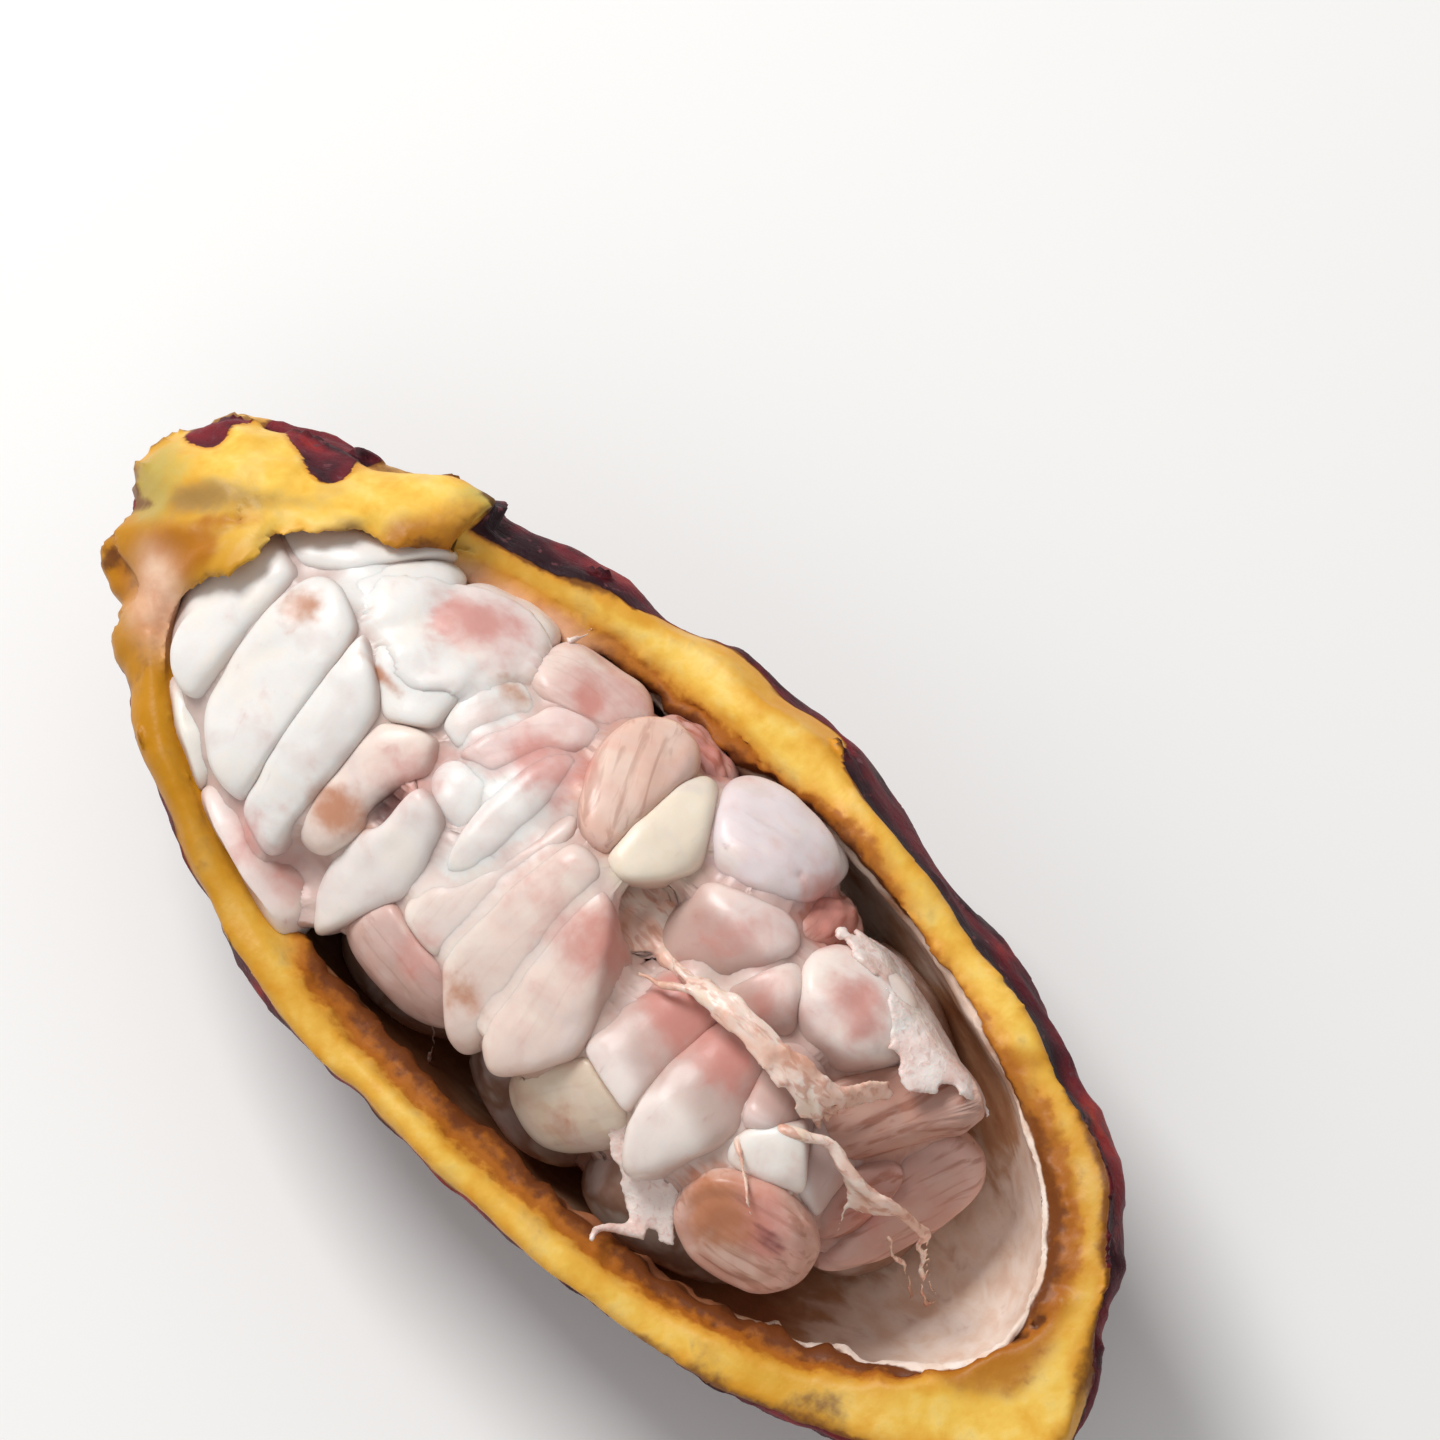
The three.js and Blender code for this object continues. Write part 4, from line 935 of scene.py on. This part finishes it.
# where it fills the creases nearly flush, and where it covers the seeds as one torn skin: x, y, z and radius
# in mm, then how strong
FILLED = [
    (-20.2, -16.0, 56.0, 5, 1), (-13.0, -16.9, 55.4, 6, 1), (-5.5, -18.0, 55.6, 6, 1),
    (-11.1, -8.6, 60.4, 6, 1), (-2.9, -10.5, 59.2, 6, 1), (2, -15.6, 57.7, 4, 1), (0.6, -6.0, 62.0, 5, 1),
    (3.4, -5.6, 60.3, 4, 1), (-19.0, -9.1, 58.1, 5, 1), (-13.0, -2.9, 58.1, 5, 1), (-6.6, -1.0, 63.2, 4, 1),
    (-2.5, -1.0, 63.0, 4, 1), (0.5, -20.2, 55.2, 4, 1), (-2.7, -22.0, 53.1, 4, 1), (1.9, -1.2, 60.2, 4, 1),
    (-17, -3, 60, 4, 1), (-31.7, 5.0, 60.7, 4, 1), (-27.3, 6.8, 61.9, 4.5, 1), (-22.4, 7.2, 62.5, 4.5, 1),
    (-26.6, 2.1, 60.6, 4.5, 1), (-22.1, 2.9, 62.7, 4.5, 1), (-19.1, 7.0, 61.7, 4, 1), (-36, 9, 60, 5, 1),
    (-62, 9, 59, 5, 1), (9, -3, 58.5, 4, 1), (13, -1.5, 59.5, 4, 1), (17.5, 1.0, 60.5, 3.6, 1),
    (12, 3.6, 60.5, 3.6, 1), (22, 5, 60, 4, 1),
]
COVERED = [
    (-57.0, 9.9, 59.4, 4, 1), (-54.5, 12.6, 59.1, 5, 1), (-50.6, 14.9, 59.4, 5, 1), (-47.7, 18.2, 59, 5, 1),
    (-44.1, 19.8, 58.6, 4.5, 1), (-54.8, 6.6, 58.1, 4, 1), (-51.3, 7.5, 60, 5, 1), (-48.6, 11, 58.8, 5, 1),
    (-45.1, 13.7, 60.4, 5, 1), (-41.6, 16.5, 59.9, 4.4, 1), (-46.5, 6, 61.4, 4, 1),
    (-43.7, 8.2, 61.1, 4.4, 1), (-40.6, 20, 57.8, 4, 1), (-42, 12, 60, 4.6, 1), (-38.4, 17.6, 57.6, 3.4, 1),
]


def fused(pieces, name, grid):
    """The pieces grown together into one wet skin."""
    bpy.ops.object.select_all(action="DESELECT")
    for piece in pieces:
        piece.select_set(True)
    bpy.context.view_layer.objects.active = pieces[0]
    bpy.ops.object.join()
    whole = bpy.context.object
    whole.name = name
    finish_with(whole, "REMESH", mode="VOXEL", voxel_size=grid * MM)
    finish_with(whole, "SMOOTH", factor=0.5, iterations=3)
    return whole


swollen = []
for bean in beans:
    copy = bpy.data.objects.new("swollen_seed", bean.data.copy())
    bpy.context.scene.collection.objects.link(copy)
    set_points(copy, points_of(copy) + normals_of(copy) * CLOSED_BY)
    swollen.append(copy)
fused(swollen, "closed_mass", PULP_GRID)
bpy.ops.object.mode_set(mode="EDIT")
bpy.ops.mesh.select_all(action="SELECT")
bpy.ops.mesh.separate(type="LOOSE")
bpy.ops.object.mode_set(mode="OBJECT")
between_seeds, *pockets = sorted(bpy.context.selected_objects, key=lambda part: -len(part.data.vertices))
for pocket in pockets:
    bpy.data.objects.remove(pocket)
between_seeds.name = "pulp_between_seeds"
points, normals = points_of(between_seeds), normals_of(between_seeds)
depth = DRAWN_IN + 0.7 * lumps(points, 12, 302) + 0.4 * lumps(points, 4, 300)
depth = np.maximum(depth, CLOSED_BY + 0.7) - 0.25 * np.abs(lumps(points, 1.8, 301))
under = points - normals * CLOSED_BY
crevice = near_spots(under, CREVICES)
depth += 1.5 * crevice
filled = ease(near_spots(under, FILLED), 0.1, 0.7)
ragged = 0.14 * lumps(points, 4, 303) + 0.12 * lumps(points, 1.7, 304)
covered = ease(near_spots(under, COVERED) + ragged, 0.5, 0.64)
depth += (CLOSED_BY + 0.1 - depth) * filled
depth += (CLOSED_BY - VEIL_THICKNESS - 0.12 * lumps(points, 7, 305) - depth) * covered
veil = np.maximum(filled, covered)
set_points(between_seeds, points - normals * depth[:, None])
finish_with(between_seeds, "SMOOTH", factor=0.5, iterations=2)
points = points_of(between_seeds)
keep(between_seeds, "grain", points * MM, "FLOAT_VECTOR", "vector")
# its colours are those of the nearest seed
nearest = KDTree(sum(len(bean.data.vertices) for bean in beans))
looks, total = [], 0
for bean in beans:
    columns = []
    for name, field, width in (
        ("bruise", "value", 1), ("blush", "value", 1), ("tint", "value", 1), ("shade", "color", 4),
    ):
        column = np.empty(len(bean.data.vertices) * width, np.float32)
        bean.data.attributes[name].data.foreach_get(field, column)
        columns.append(column.reshape(-1, width))
    looks.append(np.hstack(columns))
    for vertex in bean.data.vertices:
        nearest.insert(vertex.co, total + vertex.index)
    total += len(bean.data.vertices)
nearest.balance()
looks = np.vstack(looks)[[nearest.find(vertex.co)[1] for vertex in between_seeds.data.vertices]]
# the pulp drawn in deep between the seeds, away from its veils, gets the same painted crease shade
marks = (looks[:, 0], looks[:, 1], PULP_TINT * looks[:, 2], crevice, 1 - veil, 0 * veil)
for name, values in zip(SEED_MARKS, marks):
    keep(between_seeds, name, values)
keep(between_seeds, "shade", looks[:, 3:], "FLOAT_COLOR", "color")
clad(between_seeds, pulp)
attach(between_seeds, "root")

# ---------------------------------------------------------------- placenta
# The fibrous cord along the pod's middle that the seeds grew on, pink to cream, stringy and wet. Past the
# last standing seeds it frays into strands and thin torn webs that hang down to the lining.
CORD_FIBRES = 6
FIBRE_GRID = 0.42
TORN_PULP_GRID = 0.5


def strand(path, radii, wander=0.0, seed=0):
    """A fibre of round section along a path, both in mm; it strays from the path by up to wander."""
    path = np.array(path, float)
    steps = max(3, int(np.linalg.norm(np.diff(path, axis=0), axis=1).mean() / 0.7))
    way = smooth_path(path, steps)
    for axis in range(3):
        way[:, axis] += wander * lumps(way, 3.2, seed + axis)
    thickness = np.interp(np.linspace(0, 1, len(way)), np.linspace(0, 1, len(radii)), radii)
    thickness *= 1 + 0.25 * lumps(way, 1.9, seed + 7)
    line = bpy.data.curves.new("strand", "CURVE")
    line.dimensions = "3D"
    line.bevel_depth, line.bevel_resolution, line.use_fill_caps = MM, 2, True
    spline = line.splines.new("POLY")
    spline.points.add(len(way) - 1)
    for point, spot, radius in zip(spline.points, way, thickness):
        point.co, point.radius = (*(spot * MM), 1), radius
    piece = bpy.data.objects.new("strand", line)
    bpy.context.scene.collection.objects.link(piece)
    choose(piece)
    bpy.ops.object.convert(target="MESH")
    return bpy.context.object


def film(rows, thickness, torn, seed, fineness=34):
    """A thin torn sheet through rows of points in mm, with holes and a ragged edge where torn is above 0."""
    rows = np.array(rows, float)
    lines = np.array([smooth_path(row, 6) for row in rows])
    net = np.array([smooth_path(lines[:, i], 6) for i in range(lines.shape[1])])
    bpy.ops.mesh.primitive_grid_add(x_subdivisions=fineness, y_subdivisions=fineness, size=2 * MM)
    piece = bpy.context.object
    piece.name = "film"
    flat = points_of(piece)
    u, v = (flat[:, 0] + 1) / 2 * (net.shape[0] - 1), (flat[:, 1] + 1) / 2 * (net.shape[1] - 1)
    i, j = np.minimum(u.astype(int), net.shape[0] - 2), np.minimum(v.astype(int), net.shape[1] - 2)
    s, t = (u - i)[:, None], (v - j)[:, None]
    spots = (net[i, j] * (1 - s) + net[i + 1, j] * s) * (1 - t)
    spots += (net[i, j + 1] * (1 - s) + net[i + 1, j + 1] * s) * t
    spots[:, 2] += 0.5 * lumps(spots, 3.0, seed) + 0.25 * lumps(spots, 1.3, seed + 1)
    set_points(piece, spots)
    border = np.abs(flat[:, :2]).max(1)
    amount = lumps(spots, 2.6, seed + 2) + 0.5 * lumps(spots, 1.2, seed + 3)
    gone = (amount > 1.25 - torn) | ((border > 0.86) & (amount > 0.35 - 0.6 * torn))
    loops = np.empty(len(piece.data.polygons) * 4, int)
    piece.data.polygons.foreach_get("vertices", loops)
    bpy.ops.object.mode_set(mode="EDIT")
    bpy.ops.mesh.select_mode(type="FACE")
    bpy.ops.object.mode_set(mode="OBJECT")
    piece.data.polygons.foreach_set("select", gone[loops.reshape(-1, 4)].any(1))
    bpy.ops.object.mode_set(mode="EDIT")
    bpy.ops.mesh.delete(type="FACE")
    bpy.ops.object.mode_set(mode="OBJECT")
    finish_with(piece, "SOLIDIFY", thickness=thickness * MM, offset=0)
    return piece


CORD = [(14.6, 1.0, 58.0), (17.4, 0.6, 60.8), (20.8, 0.4, 61.9), (24.6, 0.6, 62.3),
        (28.9, 1.0, 62.1), (33.3, 0.7, 61.2), (36.9, 0.6, 59.8), (39.2, 0.9, 58.2), (42, 1.0, 55)]
STRAND_TO_TIP = [
    (36.4, -8.4, 53.6), (38.4, -6.2, 56.0), (40.2, -4.6, 57.2), (43.7, -2.0, 56.5), (45.8, -1.4, 55.5),
    (49.4, -2.0, 53.8), (54, -1.3, 51.2), (58, 0.4, 48.8), (61.4, 1.2, 45), (62.4, 1.2, 42.5),
]
# what grows from the cord, in mm. A strand has its path, the radii along it, how far it strays and its
# noise's seed; a film has its rows of points, its thickness, how torn it is, its noise's seed and its faces
# a side
BRANCHES = [
    # three short strands beside it, where it comes out
    (strand, [(16, 2.8, 58.5), (18, 1.9, 61), (20.8, 2.6, 62.2), (26.3, 2.7, 62.6), (31.3, 2.7, 61.8),
              (35, 1.6, 60.2)], [0.3, 0.7, 0.75, 0.6, 0.4], 0.4, 580),
    (strand, [(8, -3.4, 57.8), (12, -2.4, 58.8), (16, -0.6, 60.4)], [0.3, 0.7, 0.6], 0.4, 590),
    (strand, [(9.5, 1.6, 57.0), (13, 0.8, 59), (17.5, 0.6, 60.6)], [0.3, 0.6, 0.6], 0.4, 596),
    # the fan where it frays, the skin over its bare stretch and the flap at its end
    (film, [[(29.5, 0.4, 62.2), (30.5, 1.8, 62.4), (31.5, 3.4, 61.9)],
            [(33.5, -0.9, 61.0), (35, 1.6, 61.5), (36.5, 4.8, 60.8)],
            [(37.2, -1.6, 59.0), (39, 1.6, 59.8), (41, 6.2, 58.2)],
            [(39.5, -1.8, 56.4), (41.8, 1.4, 56.6), (44.2, 8.0, 55.6)]], 0.6, 0.35, 600),
    (film, [[(17.0, -0.8, 60.6), (17.4, 0.8, 61.4), (17.8, 2.4, 60.8)],
            [(21.5, -1.2, 61.4), (21.5, 0.8, 62.3), (21.5, 2.8, 61.6)],
            [(26.0, -1.2, 61.8), (26.0, 0.9, 62.8), (26.0, 3.0, 62.2)],
            [(31.5, -1.5, 61.3), (31.5, 0.7, 62.4), (31.5, 2.9, 61.7)],
            [(36.5, -2.0, 59.6), (36.5, 0.7, 60.8), (36.5, 3.5, 60.2)]], 1.0, -0.1, 606, 40),
    (film, [[(39.5, 4.0, 58.6), (42.2, 8.6, 57.4), (44.6, 12.6, 56.2)],
            [(41.0, 3.4, 57.0), (43.4, 7.6, 55.4), (45.6, 11.4, 54.6)],
            [(41.6, 2.8, 55.2), (44.0, 6.6, 54.2), (46.0, 10.2, 53.9)]], 0.6, 0.5, 610),
    # the strand that runs on towards the tip, a thinner one on its back, a web, and what hangs from them
    (strand, STRAND_TO_TIP, [1.5, 1.3, 0.95, 0.8, 0.75, 0.85, 0.6], 0.3, 620),
    (strand, [np.array(spot) + (0.2, 0.7, 0.5) for spot in STRAND_TO_TIP[3:]],
     [0.35, 0.5, 0.45, 0.5, 0.3], 0.5, 630),
    (film, [[(48.4, -2.4, 53.4), (50.4, -3.2, 50.6), (52.4, -4.6, 47.6)],
            [(51.6, -1.9, 52.2), (53.0, -2.6, 50.2), (54.4, -3.4, 48.0)],
            [(54.4, -1.3, 50.8), (55.6, -1.6, 49.6), (56.4, -1.9, 48.6)],
            [(57.4, 0.2, 49.2), (57.6, 0, 48.9), (57.8, -0.2, 48.6)]], 0.5, 0.1, 640, 24),
    (strand, [(51.6, -4.0, 48.6), (52.4, -5.4, 46.6), (53.1, -7.3, 44.6)], [0.4, 0.28, 0.15], 0.3, 650),
    (strand, [(61.6, 1.6, 44), (62.7, 0.5, 40), (63.6, -0.2, 36), (64.8, -0.6, 31), (66.4, -1.3, 23)],
     [0.7, 0.4, 0.55, 0.3, 0.45], 0.5, 660),
    (strand, [(62.0, 2.4, 43), (63.4, 1.4, 38), (65.0, 0.6, 31), (67.2, 0.4, 23.4)],
     [0.4, 0.25, 0.25, 0.3], 0.6, 670),
    (strand, [(58.6, -2.0, 44), (59.8, -2.6, 40.5), (61.2, -2.0, 36), (62.1, -1.5, 32), (63.8, -1.5, 22)],
     [0.5, 0.32, 0.5, 0.25, 0.4], 0.5, 680),
    # one that lies over the loose seed
    (strand, [(35.0, -9.8, 55.0), (36.1, -11.0, 56.0), (38.9, -12.6, 56.4), (42.6, -15.4, 56.5),
              (45.0, -16.4, 54.6)], [0.75, 0.55, 0.4, 0.35, 0.2], 0.3, 690),
    # the torn floor of the hollow beside the cord
    (film, [[(-12, 1, 56.5), (-8, 8, 53.5), (-3, 15, 53.5)],
            [(-6, -2, 56.5), (-2, 4, 53.5), (4, 11, 54)],
            [(1, -6, 56.0), (5, 0, 53.5), (10, 6, 54.5)]], 0.8, -0.6, 706, 30),
]
# the same for the torn pulp that hangs from the seeds: a curtain on the +Y side near the tip, a web down to
# the near wall, a thread to the floor, a strand to the rim and a short thread
HANGING = [
    (film, [[(22.0, 21.5, 57.0), (23.8, 23.4, 56.0), (25.0, 25.0, 52), (26.0, 27.0, 46)],
            [(26.5, 20.4, 58.0), (29.0, 24.0, 55.0), (30.4, 26.0, 50), (31.0, 28.0, 45)],
            [(32.0, 20.6, 58.0), (34.8, 22.6, 54.6), (36.0, 24.5, 50), (37.0, 26.5, 45)],
            [(37.0, 18.6, 58.0), (41.0, 21.2, 54.4), (42.5, 23.0, 50), (43.5, 24.5, 45)],
            [(40.4, 14.8, 57.4), (45.0, 20.2, 54.8), (47.0, 22.0, 50), (48.0, 23.0, 45)],
            [(43.0, 11.4, 56.6), (49.5, 19.0, 55.0), (52.0, 21.2, 50.5), (53, 21.8, 45)],
            [(46.5, 11.4, 56.2), (53.0, 17.6, 54.8), (56.0, 19.4, 51), (57, 20, 46)]], 1.0, 0.0, 700, 60),
    (film, [
        [(19, -20.6, 50), (20.4, -21.6, 48.4), (24.2, -23.9, 45.5), (28.3, -25.6, 43), (30.4, -28.6, 41)],
        [(22.4, -17.6, 50.5), (23.4, -18.4, 49), (26.9, -21.4, 46), (30.7, -24.2, 43.5), (33.3, -27, 41.5)],
        [(27.6, -16, 50.5), (28.6, -17.2, 49), (30.3, -19.3, 46.5), (32.8, -23, 44), (35.6, -26, 42)],
        [(32, -15, 50.5), (32.6, -16, 49), (34, -18.4, 47), (35.2, -22.4, 44.5), (38.4, -25.4, 42.6)],
    ], 0.9, 0.3, 720, 56),
    (strand, [(-15.4, -23.0, 38), (-14.9, -23.4, 35.5), (-13.4, -24.7, 31), (-12.4, -26.9, 19)],
     [0.6, 0.3, 0.25, 0.5], 0.3, 740),
    (strand, [(33.6, -26.8, 42.2), (30.8, -28.4, 42.6), (28.8, -31.2, 43.6), (29.4, -33.4, 44.6)],
     [1.0, 0.9, 0.7, 0.6], 0.4, 750),
    (strand, [(-36.6, 25.4, 55.2), (-36.2, 28.0, 53.0), (-36.8, 30.8, 51.2)], [0.7, 0.3, 0.35], 0.3, 760),
]
# the cord: its hidden stretch, then six fibres that wind round each other
parts = [strand([*PLACENTA_PATH[:4], (-6, 2.5, 49.5), (4, 2.5, 51), *CORD[:2]], [1.5, 1.5, 1.4, 0.9])]
for fibre in range(CORD_FIBRES):
    turns = fibre * 2 * math.pi / CORD_FIBRES
    path = []
    for step, spot in enumerate(CORD):
        swing = turns + 0.5 * step
        spread = 0.9 + 0.25 * max(step - 5, 0)
        sway = np.array((0.3 * math.cos(swing), math.cos(swing), 0.7 * math.sin(swing)))
        path.append(np.array(spot) + spread * sway)
    parts.append(strand(path, [0.7, 0.8, 0.62, 0.5, 0.42], 0.5, 500 + 10 * fibre))
parts += [make(*row) for make, *row in BRANCHES]
placenta = fused(parts, "placenta_cord_and_strands", FIBRE_GRID)
torn_pulp = fused([make(*row) for make, *row in HANGING], "torn_pulp", TORN_PULP_GRID)

# placenta: stringy wet tissue, cream to pink-orange, a little see-through at its thin edges
material, tree = new_material("cacao_placenta")
place = add(tree, "TexCoord", out="Object")
along = add(tree, "Mapping", {"Vector": place, "Scale": (0.3, 1, 1)})
fibres, cloud = (
    add(tree, "TexNoise", {"Vector": way, "Scale": 1 / (size * MM), "Detail": detail, "Distortion": swirl})
    for way, size, detail, swirl in ((along, 1.2, 4, 0.6), (place, 7, 3, 0.4))
)
stops = [(0.3, "#D9A58C"), (0.48, "#EBC5B2"), (0.6, "#F3DFD2"), (0.75, "#EED3BC")]
tissue = add(tree, "ValToRGB", {"Fac": cloud}, stops=stops)
surface = add(tree, "BsdfPrincipled", {
    "Base Color": painted(tissue, (mask(fibres, 0.48, 0.66), 0.6, "#C98970")),
    "Roughness": 0.34,
    "IOR": 1.38,
    "Subsurface Weight": 0.35,
    "Subsurface Radius": (1.0, 0.42, 0.3),
    "Subsurface Scale": 1.0 * MM,
    "Coat Weight": 0.2,
    "Coat Roughness": 0.2,
    "Normal": add(tree, "Bump", {"Height": fibres, "Strength": 0.5, "Distance": 0.3 * MM}),
})
add(tree, "OutputMaterial", {"Surface": surface})
clad(placenta, material)
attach(placenta, "root")
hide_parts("placenta")

# torn pulp: the same jelly as the seeds', dried to a thin whitish skin
material, tree = new_material("cacao_torn_pulp")
place = add(tree, "TexCoord", out="Object")
grainy, cloud = (
    add(tree, "TexNoise", {"Vector": place, "Scale": 1 / (size * MM), "Detail": detail, "Distortion": 0.4})
    for size, detail in ((1.0, 4), (6, 3))
)
tissue = add(tree, "ValToRGB", {"Fac": cloud}, stops=[(0.3, "#DDBDB3"), (0.5, "#EEDDD6"), (0.7, "#F5ECE6")])
surface = add(tree, "BsdfPrincipled", {
    "Base Color": painted(tissue, (mask(grainy, 0.52, 0.68), 0.45, "#D0A497")),
    "Roughness": 0.4,
    "IOR": 1.38,
    "Subsurface Weight": 0.35,
    "Subsurface Radius": (1.0, 0.45, 0.35),
    "Subsurface Scale": 1.0 * MM,
    "Coat Weight": 0.15,
    "Coat Roughness": 0.25,
    "Normal": add(tree, "Bump", {"Height": grainy, "Strength": 0.6, "Distance": 0.4 * MM}),
})
add(tree, "OutputMaterial", {"Surface": surface})
clad(torn_pulp, material)
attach(torn_pulp, "root")

# ---------------------------------------------------------------- floor and light
# A plain pale table top under broad, soft daylight from the stem side, with a weaker fill all round.
bpy.ops.mesh.primitive_plane_add(size=3)
floor = bpy.context.object
floor.name = "floor"
material, tree = new_material("pale_table")
surface = add(tree, "BsdfPrincipled", {"Base Color": colour("#F2F1EF"), "Roughness": 0.8})
add(tree, "OutputMaterial", {"Surface": surface})
floor.data.materials.append(material)

for name, place, power, size in (
    ("window", (-0.78, 0.1, 1.0), 12.4, 0.5),
    ("fill", (0.35, -0.9, 1.0), 2.2, 0.9),
):
    bpy.ops.object.light_add(type="AREA", location=place)
    lamp = bpy.context.object
    lamp.name = name
    lamp.data.energy, lamp.data.size = power, size
    lamp.rotation_euler = (-Vector(place)).to_track_quat("-Z", "Y").to_euler()
world = bpy.data.worlds.new("room")
world.use_nodes = True
world.node_tree.nodes["Background"].inputs["Color"].default_value = colour("#FFFFFF")
world.node_tree.nodes["Background"].inputs["Strength"].default_value = 0.38
bpy.context.scene.world = world
